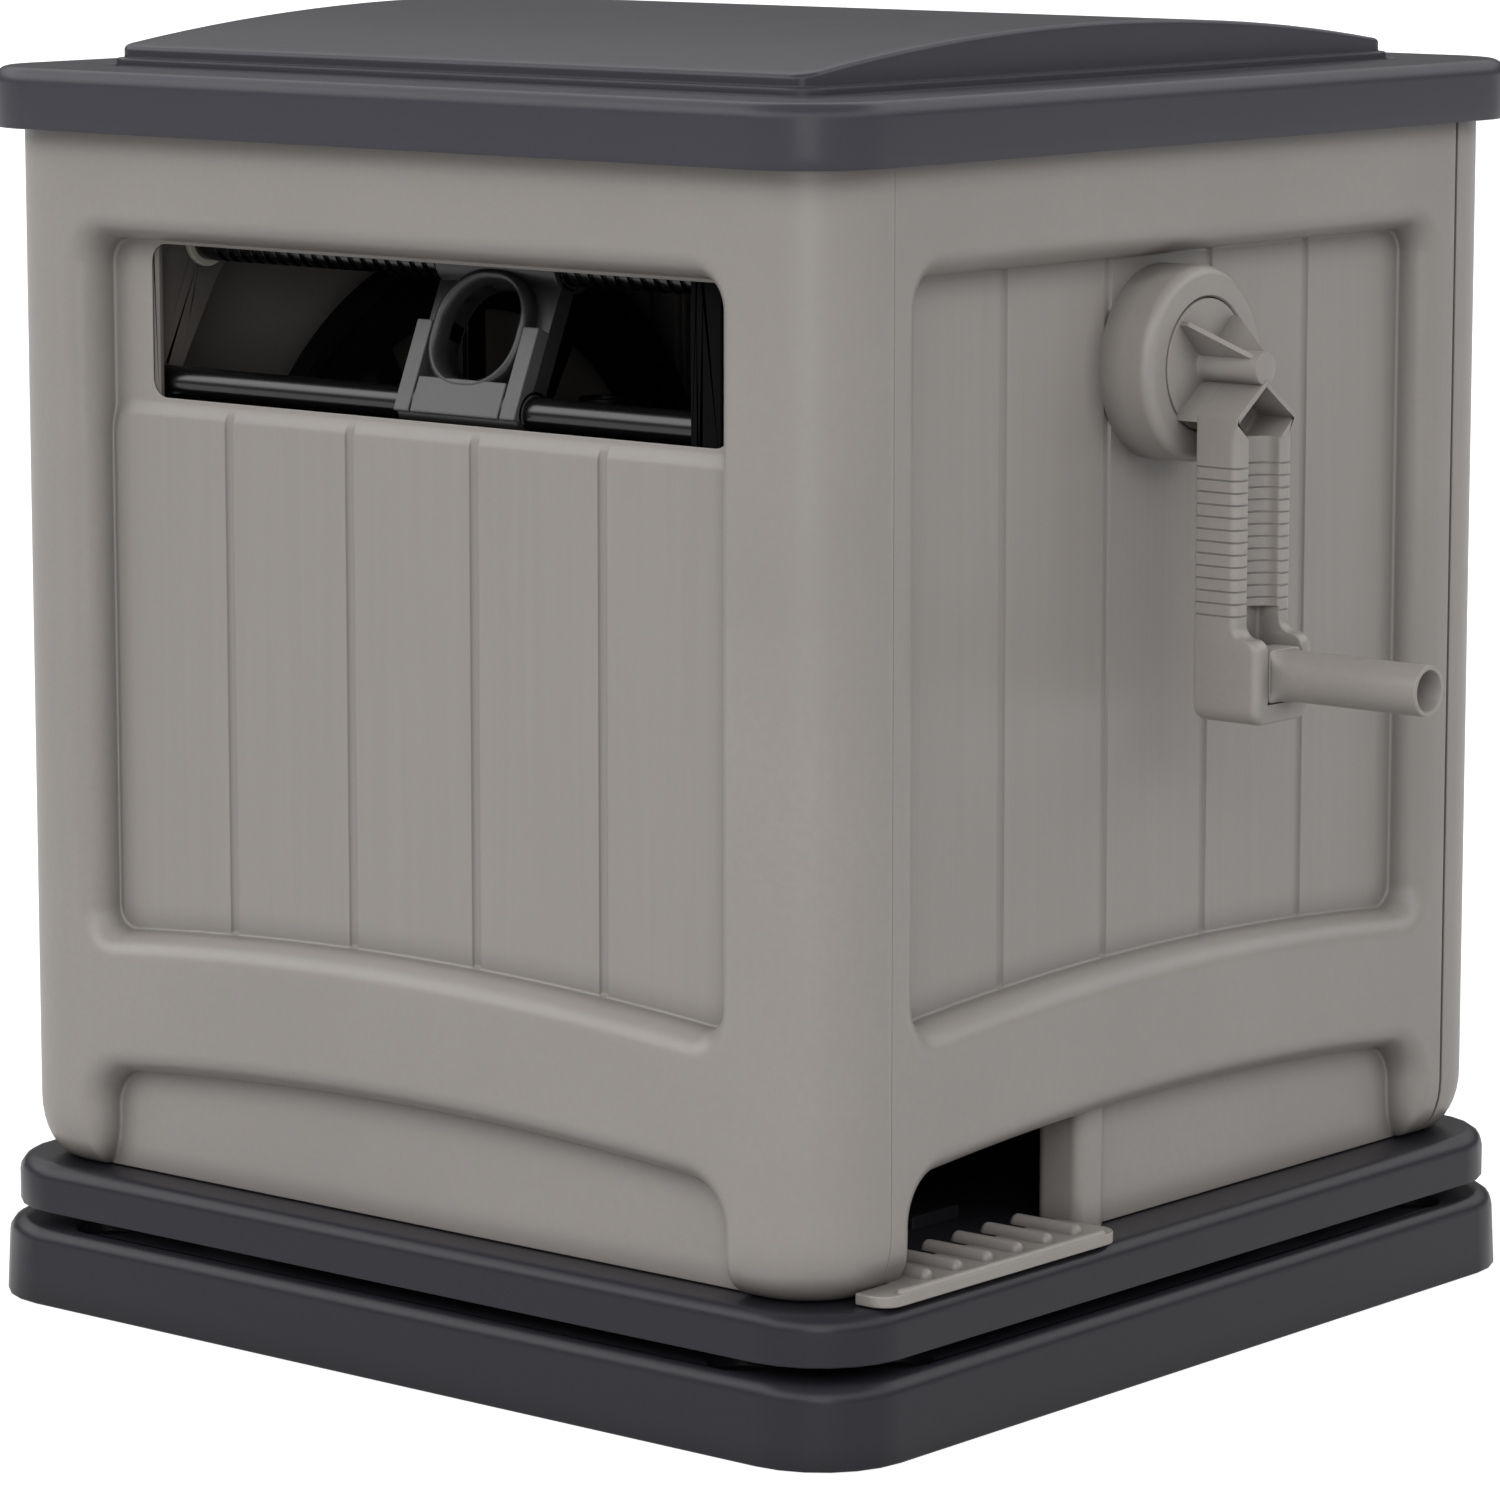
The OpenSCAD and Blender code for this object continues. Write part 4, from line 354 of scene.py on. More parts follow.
def lathe_along_x(soup, rows, y, z, n=64):
    """Turned body with its axis along X; rows are (x, radius) round its section."""
    a = np.linspace(0, 2 * pi, n, endpoint=False)
    pts = np.array([[(x, y + r * cos(t), z + r * sin(t)) for t in a] for x, r in rows])
    soup.patch(pts[:, ::-1], closed=True)


def ring_along_x(soup, x0, x1, y, z, r_out, r_in):
    """Turned ring with its axis along X."""
    lathe_along_x(soup, [(x0, r_in), (x0, r_out), (x1, r_out), (x1, r_in), (x0, r_in)], y, z)


def prism(soup, low, high):
    """Solid between two equal outlines, counterclockwise seen from the second's side."""
    n = len(low)
    sides = [(i, (i + 1) % n, n + (i + 1) % n, n + i) for i in range(n)]
    soup.add(low + high, [tuple(range(n))[::-1], tuple(range(n, 2 * n))] + sides)


def prism_along_x(soup, outline, x0, x1):
    prism(soup, [(x0, y, z) for y, z in outline], [(x1, y, z) for y, z in outline])


def prism_up(soup, outline, z0, z1):
    prism(soup, [(x, y, z0) for x, y in outline], [(x, y, z1) for x, y in outline])


def block(soup, low, high):
    outline = [(low[0], low[1]), (high[0], low[1]), (high[0], high[1]), (low[0], high[1])]
    prism_up(soup, outline, low[2], high[2])


# cabinet panels
WRAPS = ("front", "rear")
FIELD_C, APRON_C = FIELD_HALF - FIELD_R, APRON_HALF - APRON_R
OUTER_R, INNER_R = FIELD_R + RUN, FIELD_R - FILLET
APRON_OUT, APRON_IN = APRON_R + RUN, APRON_R - FILLET
FIELD_END, APRON_END = FIELD_C + OUTER_R, APRON_C + APRON_OUT
FIELD_LOW_C = FIELD_LOW - FIELD_C ** 2 / (2 * ARCH_R) + FIELD_R
FIELD_TOP_C = FIELD_TOP - FIELD_R
APRON_TOP_C = APRON_TOP - APRON_C ** 2 / (2 * ARCH_R) - APRON_R
ARCH_FADE = 330.0
# half of a plank groove's section as (offset, depth), and the whole
HALF_GROOVE = [(1.9, 1.3), (2.25, 1.15), (2.5, 0.7), (2.75, 0.12), (3.0, 0.0)]
GROOVE = [(-o, d) for o, d in HALF_GROOVE[::-1]] + [(0.0, 1.35)] + HALF_GROOVE
# distances from a field's floor, outwards over the fillet and up the wall
RING_T = [-FILLET * (1 - sin(radians(a))) for a in (0, 22.5, 45, 67.5)]
RING_T += [RUN * (1 - sin(radians(a))) for a in (90, 84, 77, 70, 62, 54, 46, 38, 30, 20, 10, 0)]
# more lines of the grid: columns, rows over the field and rows of the field
MORE_COLS = {20.0, 60.0, 80.0, 100.0, 140.0, 154.0, INLET_BACK}
TOP_ROWS = [BOX_TOP, 598.0, 580.0, 560.0]
FIELD_ROWS = [505.0, 490.0, 475.0, 462.0, 459.0, 456.0, SLOT_LOW, 451.5, 450.0, 448.3, 446.8, 445.3, 443.8,
              442.0, 439.0, 436.0, 432.0, 400.0, 360.0, 320.0, 280.0, 240.0, 220.0]


def rounding(z, size, rise):
    """How far a rounded foot of a given size and rise stands in at height z."""
    c = np.clip(1 - (z - BOX_Z) / rise, 0, 1)
    return size * (1 - np.sqrt(1 - c * c))


def arch_shift(u, c):
    """How much higher an arched line is at u than at its corners."""
    return (c * c - np.minimum(np.abs(u), c) ** 2) / (2 * ARCH_R)


def floor_depth(u, z, slot):
    """Depth of the plank field's floor, which lies deeper round the slot."""
    depth = np.full(np.shape(u), RECESS)
    if slot:
        du, dz = np.abs(u) - FIELD_C, z - (TRAY_TOP - FIELD_R)
        d = np.hypot(np.maximum(du, 0), np.maximum(dz, 0)) + np.minimum(np.maximum(du, dz), 0) - FIELD_R
        depth = depth + TRAY_DEEPER * smoothstep(-3.5, 6.5, d)
    return depth


def groove_depth(u, z, slot):
    depth = np.zeros(np.shape(u))
    offsets, depths = zip(*GROOVE)
    for i in PLANK_SEAMS:
        depth = np.maximum(depth, np.interp(u - PLANK_PITCH * i, offsets, depths, 0, 0))
    if slot:
        depth = depth * (1 - smoothstep(TRAY_TOP - 3, TRAY_TOP + 3, z))
    return depth


def wall_depth(t, floor):
    """Depth of a field's wall at distance t outside its floor."""
    foot = floor - FILLET + np.sqrt(np.maximum(FILLET ** 2 - (t + FILLET) ** 2, 0))
    s = np.clip(1 - t / RUN, 0, 1)
    side = (floor - FILLET) * (1 - np.sqrt(np.maximum(1 - s * s, 0)))
    return np.where(t <= 0, foot, side)


def to_arc(u, z, cu, cz, r, up):
    """Moves points of a square corner onto its quarter circle."""
    a, b = (np.abs(u) - cu) / r, (z - cz) / r * up
    m = np.maximum(a, b)
    angle = np.where(a >= b, 45 * b / np.maximum(a, 1e-9), 90 - 45 * a / np.maximum(b, 1e-9))
    angle = np.radians(angle)
    inside = (a > 1e-9) & (b > 1e-9)
    nu = np.where(inside, np.sign(u) * (cu + r * m * np.cos(angle)), u)
    nz = np.where(inside, cz + up * r * m * np.sin(angle), z)
    return nu, nz


def drawn_in(v, low, high, share):
    """Draws values outside low to high nearer to them."""
    return np.where(v > high, high + (v - high) * share, np.where(v < low, low + (v - low) * share, v))


def columns(flat_end):
    """Places of the grid's upright lines along a face."""
    cols = {0.0, flat_end, SLOT_RIGHT - SLOT_R} | MORE_COLS
    for i in PLANK_SEAMS:
        cols |= {round(abs(PLANK_PITCH * i + o), 4) for o, _ in GROOVE}
    cols |= {abs(SLOT_LEFT) - SLOT_R * k / 3 for k in range(4)}
    cols |= {round(APRON_C + APRON_OUT * k / 12, 4) for k in range(13)}
    cols |= {round(FIELD_C + OUTER_R * k / 10, 4) for k in range(11)}
    cols = sorted(c for c in cols if c <= flat_end + TINY)
    fixed = {0.0, flat_end, abs(SLOT_LEFT), APRON_C, round(APRON_END, 4), FIELD_C, round(FIELD_END, 4)}
    keep = [cols[0]]
    for c in cols[1:]:
        if c - keep[-1] >= 0.2 or c in fixed:
            keep.append(c)
    return np.array([-c for c in keep[:0:-1]] + keep)


def face_lines(flat_end, wrap, close):
    """Columns and rows of a face, and the rows where its field starts and ends and its apron starts."""
    cols = columns(flat_end)
    if wrap:
        arc = BOX_R * pi / 2
        more = [flat_end + arc * k / 12 for k in range(1, 13)]
        more += [flat_end + arc + HALF_D - BOX_R - SEAM_Y + close]
        cols = np.concatenate([-np.array(more[::-1]), cols, more])
    corner = np.linspace(0, 1, 8)
    top_corner = list(FIELD_TOP_C + OUTER_R * np.array([1] + [k / INNER_R for k in (10, 7, 4, 1)] + [0]))
    low_corner = list(FIELD_LOW_C - OUTER_R * corner)
    band_low = APRON_TOP_C + APRON_OUT
    band = [low_corner[-1] + (band_low - low_corner[-1]) * k / 4 for k in (1, 2, 3)]
    apron_corner = list(band_low - APRON_OUT * corner)
    foot = [BOX_Z + FOOT_RISE * (1 - cos(radians(a))) for a in range(90, -1, -10)]
    foot = [z for z in foot if z < APRON_TOP_C - 1]
    rows = np.array(TOP_ROWS + top_corner + FIELD_ROWS + low_corner + band + apron_corner + foot)
    n_top = len(TOP_ROWS)
    n_low = n_top + len(top_corner) + len(FIELD_ROWS) + len(low_corner) - 1
    return cols, rows, n_top, n_low, n_low + len(band) + 1


def ring_points(loop, c, low_c, top_c, radius, outer, arched):
    """Rings round a field at each distance of RING_T; the loop gives (side, place), one side is arched."""
    rings = []
    for r in (radius + t for t in RING_T):
        ring = []
        for side, v in loop:
            if side in "bt":
                a = max(0.0, abs(v) - c) / outer * pi / 4
                x = copysign(min(abs(v), c) + r * sin(a), v)
                y = top_c + r * cos(a) if side == "t" else low_c - r * cos(a)
                y += float(arch_shift(v, c)) if side == arched else 0.0
            else:
                a = pi / 4 * (max(0.0, v - top_c) - max(0.0, low_c - v)) / outer
                x = (1 if side == "r" else -1) * (c + r * cos(a))
                y = min(max(v, low_c), top_c) + r * sin(a)
            ring.append((x, y))
        rings.append(ring)
    u, z = np.moveaxis(np.array(rings), -1, 0)
    return u, z, np.array(RING_T)[:, None] + np.zeros_like(u)


# Each grid is (place along the face, height, outer depth, inner depth, plank share, cells that are kept)
def skin_grid(cols, rows, n_top, n_low, n_apron):
    """Outside of a face round its field and apron, whose edges follow the rounded outlines."""
    u, z = np.meshgrid(cols, rows)
    index = np.arange(len(rows))
    share = np.clip((rows - rows[n_low]) / (rows[n_apron] - rows[n_low]), 0, 1)[:, None]
    shift = (1 - share) * arch_shift(u, FIELD_C) + share * arch_shift(u, APRON_C)
    z = z + np.where(((index >= n_low) & (index <= n_apron))[:, None], shift, 0)
    middle, cell = np.abs(cols[:-1] + cols[1:])[None, :] / 2, index[:-1, None]
    in_field = (middle < FIELD_END) & (cell >= n_top) & (cell < n_low)
    in_apron = (middle < APRON_END) & (cell >= n_apron)
    eu, ez = u.copy(), z.copy()
    outlines = ((n_top, FIELD_C, FIELD_TOP_C, 1, OUTER_R), (n_low, FIELD_C, FIELD_LOW_C, -1, OUTER_R),
                (n_apron, APRON_C, APRON_TOP_C, 1, APRON_OUT))
    for row, cu, cz, up, r in outlines:
        nu, nz = to_arc(u, z, cu, cz, r, up)
        on_row = (index == row)[:, None] & (np.abs(u) <= cu + r + TINY) & (np.abs(u) > cu)
        on_col = (np.abs(np.abs(u) - (cu + r)) < TINY) & ((z - cz) * up > 0) & ((z - cz) * up <= r + TINY)
        eu, ez = np.where(on_row | on_col, nu, eu), np.where(on_row | on_col, nz, ez)
    d = rounding(ez, FOOT_ROUND, FOOT_RISE)
    return eu, ez, d, d + WALL, np.zeros_like(d), ~(in_field | in_apron)


def field_grids(cols, rows, slot):
    """Ring round the plank field, and the floor inside it with the slot left out."""
    cols = cols[np.abs(cols) <= FIELD_END + TINY]
    loop = ([("b", x) for x in cols] + [("r", y) for y in rows[::-1][1:]] + [("t", x) for x in cols[::-1][1:]]
            + [("l", y) for y in rows[1:-1]])
    ru, rz, rt = ring_points(loop, FIELD_C, FIELD_LOW_C, FIELD_TOP_C, FIELD_R, OUTER_R, "b")
    foot = RING_T.index(min(RING_T, key=abs))
    base, base0 = floor_depth(ru[foot], rz[foot], slot), floor_depth(ru[0], rz[0], slot)
    base = np.where(rt < 0, base0 + (base - base0) * (1 + rt / FILLET), base)
    fade = np.clip(-rt / FILLET, 0, 1) ** 2
    grooves = groove_depth(ru, rz, slot)
    depth = wall_depth(rt, base) + grooves * fade
    depth[0] = base0 + grooves[0]
    ring = ru, rz, depth, wall_depth(rt, RECESS) + WALL, fade * 0.6, "ring"

    fu = drawn_in(cols, -FIELD_C, FIELD_C, INNER_R / OUTER_R)
    fz = drawn_in(rows, FIELD_LOW_C, FIELD_TOP_C, INNER_R / OUTER_R)
    u0, z0 = np.meshgrid(fu, fz)
    z0 = z0 + arch_shift(u0, FIELD_C) * (1 - smoothstep(FIELD_LOW_C, ARCH_FADE, z0))
    u, z = to_arc(u0, z0, FIELD_C, FIELD_TOP_C, INNER_R, 1)
    u, z = to_arc(u, z, FIELD_C, FIELD_LOW_C, INNER_R, -1)
    mask = np.ones((len(rows) - 1, len(cols) - 1), bool)
    plank = np.ones_like(u)
    if slot:
        mid_u, mid_z = (fu[:-1] + fu[1:]) / 2, (fz[:-1] + fz[1:]) / 2
        across, upright = (mid_u > SLOT_LEFT) & (mid_u < SLOT_RIGHT), (mid_z > SLOT_LOW) & (mid_z < SLOT_HIGH)
        mask = ~(across[None, :] & upright[:, None])
        for end, side in ((SLOT_LEFT, -1), (SLOT_RIGHT, 1)):
            for cz, up in ((SLOT_HIGH - SLOT_R, 1), (SLOT_LOW + SLOT_R, -1)):
                cu = abs(end) - SLOT_R
                nu, nz = to_arc(u0, z0, cu, cz, SLOT_R, up)
                a, b = (u0 * side - cu) / SLOT_R, (z0 - cz) * up / SLOT_R
                edge = (np.abs(np.maximum(a, b) - 1) < 1e-2) & (a > 1e-9) & (b > 1e-9)
                u, z = np.where(edge, nu, u), np.where(edge, nz, z)
        plank = 1 - smoothstep(TRAY_TOP - 6, TRAY_TOP + 4, z)
    depth = floor_depth(u, z, slot) + groove_depth(u, z, slot)
    return [ring, (u, z, depth, np.full_like(u, RECESS + WALL), plank, mask)]


def apron_grids(cols, rows, inlet):
    """Ring round the apron, open at the bottom, and the floor inside it with the inlet left out."""
    cols = cols[np.abs(cols) <= APRON_END + TINY]
    loop = [("l", y) for y in rows[::-1]] + [("t", x) for x in cols[1:-1]] + [("r", y) for y in rows]
    ru, rz, rt = ring_points(loop, APRON_C, BOX_Z, APRON_TOP_C, APRON_R, APRON_OUT, "t")
    ru = ru + np.sign(ru) * rounding(rz, TOE, TOE_RISE) * (1 - np.clip(rt / RUN, 0, 1))
    side, foot = wall_depth(rt, RECESS), rounding(rz, FOOT_ROUND, FOOT_RISE)
    depth = np.minimum(RECESS, (side ** 6 + foot ** 6) ** (1 / 6))
    ring = ru, rz, depth, np.maximum(side, foot) + WALL, np.zeros_like(ru), "open"

    au = drawn_in(cols, -APRON_C, APRON_C, APRON_IN / APRON_OUT)
    u, z = np.meshgrid(au, drawn_in(rows, BOX_Z, APRON_TOP_C, APRON_IN / APRON_OUT))
    z = z + arch_shift(u, APRON_C) * smoothstep(BOX_Z, APRON_TOP_C, z)
    u, z = to_arc(u, z, APRON_C, APRON_TOP_C, APRON_IN, 1)
    u = u + np.sign(u) * rounding(z, TOE, TOE_RISE) * np.clip((np.abs(u) - APRON_C) / APRON_IN, 0, 1)
    mask = np.ones((len(rows) - 1, len(cols) - 1), bool)
    if inlet:
        mask &= ((au[:-1] + au[1:]) / 2 > -INLET_BACK)[None, :]
    flat = np.full_like(u, RECESS)
    return [ring, (u, z, flat, flat + WALL, np.zeros_like(u), mask)]


def place(kind, s, z, d):
    """Points of a panel from their places along the face, heights and depths."""
    if kind not in WRAPS:
        return np.stack([(1 if kind == "right" else -1) * (HALF_W - d), s, z], -1)
    flat = HALF_W - BOX_R
    over = np.clip(np.abs(s) - flat, 0, None)
    angle = np.minimum(over / BOX_R, pi / 2)
    run = np.clip(over - BOX_R * pi / 2, 0, None)
    x = np.sign(s) * (np.minimum(np.abs(s), flat) + (BOX_R - d) * np.sin(angle))
    y = -(HALF_D - BOX_R) - (BOX_R - d) * np.cos(angle) + run
    return np.stack([-x, -y, z] if kind == "rear" else [x, y, z], -1)


def flange_depth(kind, s):
    """Depth of the bottom flange's inner edge, square at the corners."""
    if kind not in WRAPS:
        near_inlet = (kind == "right") & (np.abs(s - INLET_MID) < INLET_REACH)
        return np.where(near_inlet, INLET_FLANGE, FOOT_FLANGE)
    angle = np.clip((np.abs(s) - (HALF_W - BOX_R)) / BOX_R, 0, pi / 2)
    reach = FOOT_FLANGE - BOX_R
    across, along = np.maximum(np.cos(angle), 1e-6), np.maximum(np.sin(angle), 1e-6)
    return BOX_R + np.minimum(reach / across, reach / along)


def orient(verts, faces):
    """Turns every face of a flat (s, z) layout the same way round."""
    out = []
    for f in faces:
        p = verts[list(f), :2]
        q = np.roll(p, -1, 0)
        out.append(f if (p[:, 0] * q[:, 1] - q[:, 0] * p[:, 1]).sum() > 0 else f[::-1])
    return out


def panel_mesh(kind):
    """Closed panel: outside, inside, and the strips that join them along every edge."""
    wrap = kind in WRAPS
    flat_end = HALF_W - BOX_R if wrap else SEAM_Y - SEAM_GAP
    close = {"front": SEAM_GAP - FRONT_GAP, "rear": -REAR_GAP}.get(kind, 0.0)
    cols, rows, n_top, n_low, n_apron = face_lines(flat_end, wrap, close)
    grids = [skin_grid(cols, rows, n_top, n_low, n_apron)]
    grids += field_grids(cols, rows[n_top:n_low + 1], kind == "front")
    grids += apron_grids(cols, rows[n_apron:], kind == "right")
    outer, inner = Soup(), []
    for s, z, depth, inner_depth, plank, mask in grids:
        ring = isinstance(mask, str)
        outer.patch(np.stack([s, z, depth], -1), None if ring else mask, plank, ring and mask == "ring")
        raised = z + WALL * np.clip((BOX_Z + FOOT_RISE - z) / FOOT_RISE, 0, 1)
        inner.append(np.stack([s, raised, inner_depth], -1).reshape(-1, 3))
    flat, faces, plank = outer.joined()
    # each joined point of the outside takes the first inside point that was made with it
    keys = {tuple(k): n for n, k in enumerate(on_grid(flat))}
    link = {}
    for key, point in zip(on_grid(np.concatenate(outer.verts)), np.concatenate(inner)):
        if tuple(key) in keys:
            link.setdefault(keys[tuple(key)], point)
    n = len(flat)
    s, z, depth = np.array([link[i] for i in range(n)]).T
    faces = orient(flat, faces)
    directed = dict.fromkeys((a, b) for f in faces for a, b in zip(f, f[1:] + f[:1]))
    edges = [(a, b) for a, b in directed if (b, a) not in directed]
    lip, foot_z = flange_depth(kind, s), np.full(n, BOX_Z)
    layers = [flat.T, (s, z, depth), (s, foot_z + WALL, lip), (s, foot_z, lip)]
    verts = np.concatenate([place(kind, *layer) for layer in layers])
    faces = faces + [tuple(i + n for i in f[::-1]) for f in faces]
    for a, b in edges:
        at_foot = max(abs(flat[a, 1] - BOX_Z), abs(flat[b, 1] - BOX_Z)) < JOIN_GRID
        for p, q in ((0, 3), (3, 2), (2, 1)) if at_foot else ((0, 1),):
            faces.append((b + p * n, a + p * n, a + q * n, b + q * n))
    used = sorted({i for f in faces for i in f})
    remap = {v: k for k, v in enumerate(used)}
    turn = -1 if kind == "left" else 1
    faces = [tuple(remap[i] for i in f)[::turn] for f in faces]
    return verts[used], faces, np.concatenate([plank, np.zeros(3 * n)])[used]


def seam_plates(soup, side):
    """Inside flanges along the two seams of a panel."""
    ends = {"front": ((-1, -1), (1, -1)), "rear": ((-1, 1), (1, 1)), "right": ((1, -1), (1, 1)),
            "left": ((-1, -1), (-1, 1))}
    near = {"front": SEAM_Y, "rear": SEAM_Y + REAR_GAP}.get(side, SEAM_Y - SEAM_GAP)
    far = near + (WALL if side in WRAPS else -WALL)
    for sx, sy in ends[side]:
        xs, ys = sorted((sx * PLATE_IN, sx * PLATE_OUT)), sorted((sy * near, sy * far))
        block(soup, (xs[0], ys[0], BOX_Z + FOOT_RISE), (xs[1], ys[1], BOX_TOP))


def mound(soup, x0, y0, x1, y1, z, height):
    """Ridge with a rounded top and round ends, standing on a plate at height z."""
    rows = []
    half = min(x1 - x0, y1 - y0) / 2
    for back, up in quarter(6):
        inset = half * 0.92 * back
        loop = rounded_outline(x0 + inset, y0 + inset, x1 - inset, y1 - inset, half - inset - 0.01)
        rows.append([(x, y, z + height * up) for x, y in loop])
    soup.patch(rows, closed=True)
    soup.add(rows[-1], [tuple(range(len(rows[-1])))])


extras = {side: Soup() for side in ("front", "rear", "right", "left")}
for side, soup in extras.items():
    seam_plates(soup, side)
lug = [(HINGE_Y - 21, HINGE_Z - 22)] + turned(HINGE_Y, HINGE_Z, KNUCKLE_R, -90, 90, 18)
lug += [(HINGE_Y - 21, HINGE_Z + 8)]
for mid in (-HINGE_X, HINGE_X):
    for start in (KNUCKLE_W / 2 + HINGE_GAP, -KNUCKLE_W / 2 - HINGE_GAP - LUG_W):
        prism_along_x(extras["rear"], lug, mid + start, mid + start + LUG_W)
# bosses inside the side panels: x from and to, y, z, radius, bore
ring_along_x(extras["left"], -INNER_X - 2, -INNER_X + 5, 0, REEL_Z, 38, 30)
for boss in ((INNER_X - 20, INNER_X + 2, 0, REEL_Z, 38, 32), (216, INNER_X + 2, 0, CRANK_Z, 22, 13),
             (214, INNER_X + 2, IDLER_Y, IDLER_Z, 16, 7)):
    ring_along_x(extras["right"], *boss)

# inlet wall and step of the right panel
STEP_X, STEP_T, STEP_FRONT, STEP_NOSE, NOSE_R = 275.3, 5.5, -213.0, -238.0, 11.0
NOSE_BACK, STEP_IN, STEP_TOP = STEP_X - 18.8, INNER_X - 4, BOX_Z + STEP_T
TREADS, TREAD_PITCH, TREAD_W, TREAD_H, RIM_H, TREAD_Z = 6, 22.5, 8.0, 4.6, 2.2, STEP_TOP - 0.3
inlet_wall = rounded_outline(FLOOR_X - 22, -INLET_BACK - 0.4, FLOOR_X + 5, -INLET_BACK + 21, 6.0)
prism_up(extras["right"], inlet_wall, BOX_Z, APRON_TOP + 3)
step = [(STEP_IN, STEP_FRONT), (NOSE_BACK, STEP_FRONT), (NOSE_BACK, STEP_NOSE)]
step += turned(STEP_X - NOSE_R, STEP_NOSE + NOSE_R, NOSE_R, -90, 0, 9)
step += turned(STEP_X - NOSE_R, -INLET_BACK - NOSE_R, NOSE_R, 0, 90, 9)
step += [(STEP_IN, -INLET_BACK)]
prism_up(extras["right"], step, BOX_Z, STEP_TOP)
treads = Soup()
for i in range(TREADS):
    y = -INLET_BACK - TREAD_PITCH * (i + 0.9)
    mound(treads, STEP_X - 50, y - TREAD_W / 2, STEP_X - 9, y + TREAD_W / 2, TREAD_Z, TREAD_H)
mound(treads, STEP_X - 5.5, STEP_NOSE + NOSE_R, STEP_X - 0.2, -INLET_BACK - NOSE_R, TREAD_Z, RIM_H)
piece("step_treads", treads, "cabinet", TAUPE, "right_panel")
for side, soup in extras.items():
    node = side + "_panel"
    verts, faces, share = panel_mesh(side)
    piece(node + "_skin", (verts, faces), "cabinet", TAUPE, node, sharp=38, bevel=0.45,
          bevel_angle=60, plank=share)
    piece(node + "_fittings", soup, "cabinet", TAUPE, node, bevel=0.8)

# lid
LOOP_SIDE, LOOP_CORNER = 24, 14
CROWN_IN, CROWN_EDGE, CROWN_WALL_H = 60.0, 2.2, 4.3
MOAT_W, LEDGE_W = 4.5, 4.0
# moat and ledge round the crown: (distance outside the ledge or the crown, height over the lid's top)
MOAT = [(MOAT_W + 3, 0.0), (MOAT_W + 1.0, -0.05), (MOAT_W + 0.3, -0.4), (MOAT_W - 0.2, -1.1),
        (MOAT_W - 0.8, -1.7), (1.6, -1.8), (0.9, -1.5), (0.3, -0.6), (0.05, 0.6)]
LEDGE = [(LEDGE_W, 2.2), (LEDGE_W - 0.3, 3.0), (LEDGE_W - 1.0, 3.4), (0.8, 3.5), (0.2, 3.7),
         (0.0, CROWN_WALL_H)]


def crown_z(y):
    return RIDGE_Z - CROWN_ARCH + np.sqrt(CROWN_ARCH ** 2 - y ** 2)


def rect_loop(hx, hy, r):
    """Loop round a rounded rectangle, counterclockwise from the front side's right end."""
    corners = [(1, -1, -90), (1, 1, 0), (-1, 1, 90), (-1, -1, 180)]
    arcs = [turned(sx * (hx - r), sy * (hy - r), r, a, a + 90, LOOP_CORNER) for sx, sy, a in corners]
    out = []
    for i, arc in enumerate(arcs):
        (ex, ey), (fx, fy) = arc[-1], arcs[(i + 1) % 4][0]
        out += arc
        out += [(ex + (fx - ex) * k / LOOP_SIDE, ey + (fy - ey) * k / LOOP_SIDE) for k in range(1, LOOP_SIDE)]
    return np.array(out)


def crown_grid(soup, hx, hy, dz, upward):
    """Middle of the crown as a grid that meets the last loop point by point."""
    x, y = np.meshgrid(np.linspace(-hx, hx, LOOP_SIDE + 1), np.linspace(-hy, hy, LOOP_SIDE + 1))
    grid = np.stack([x, y, crown_z(y) + dz], -1)
    soup.patch(grid if upward else grid[:, ::-1])


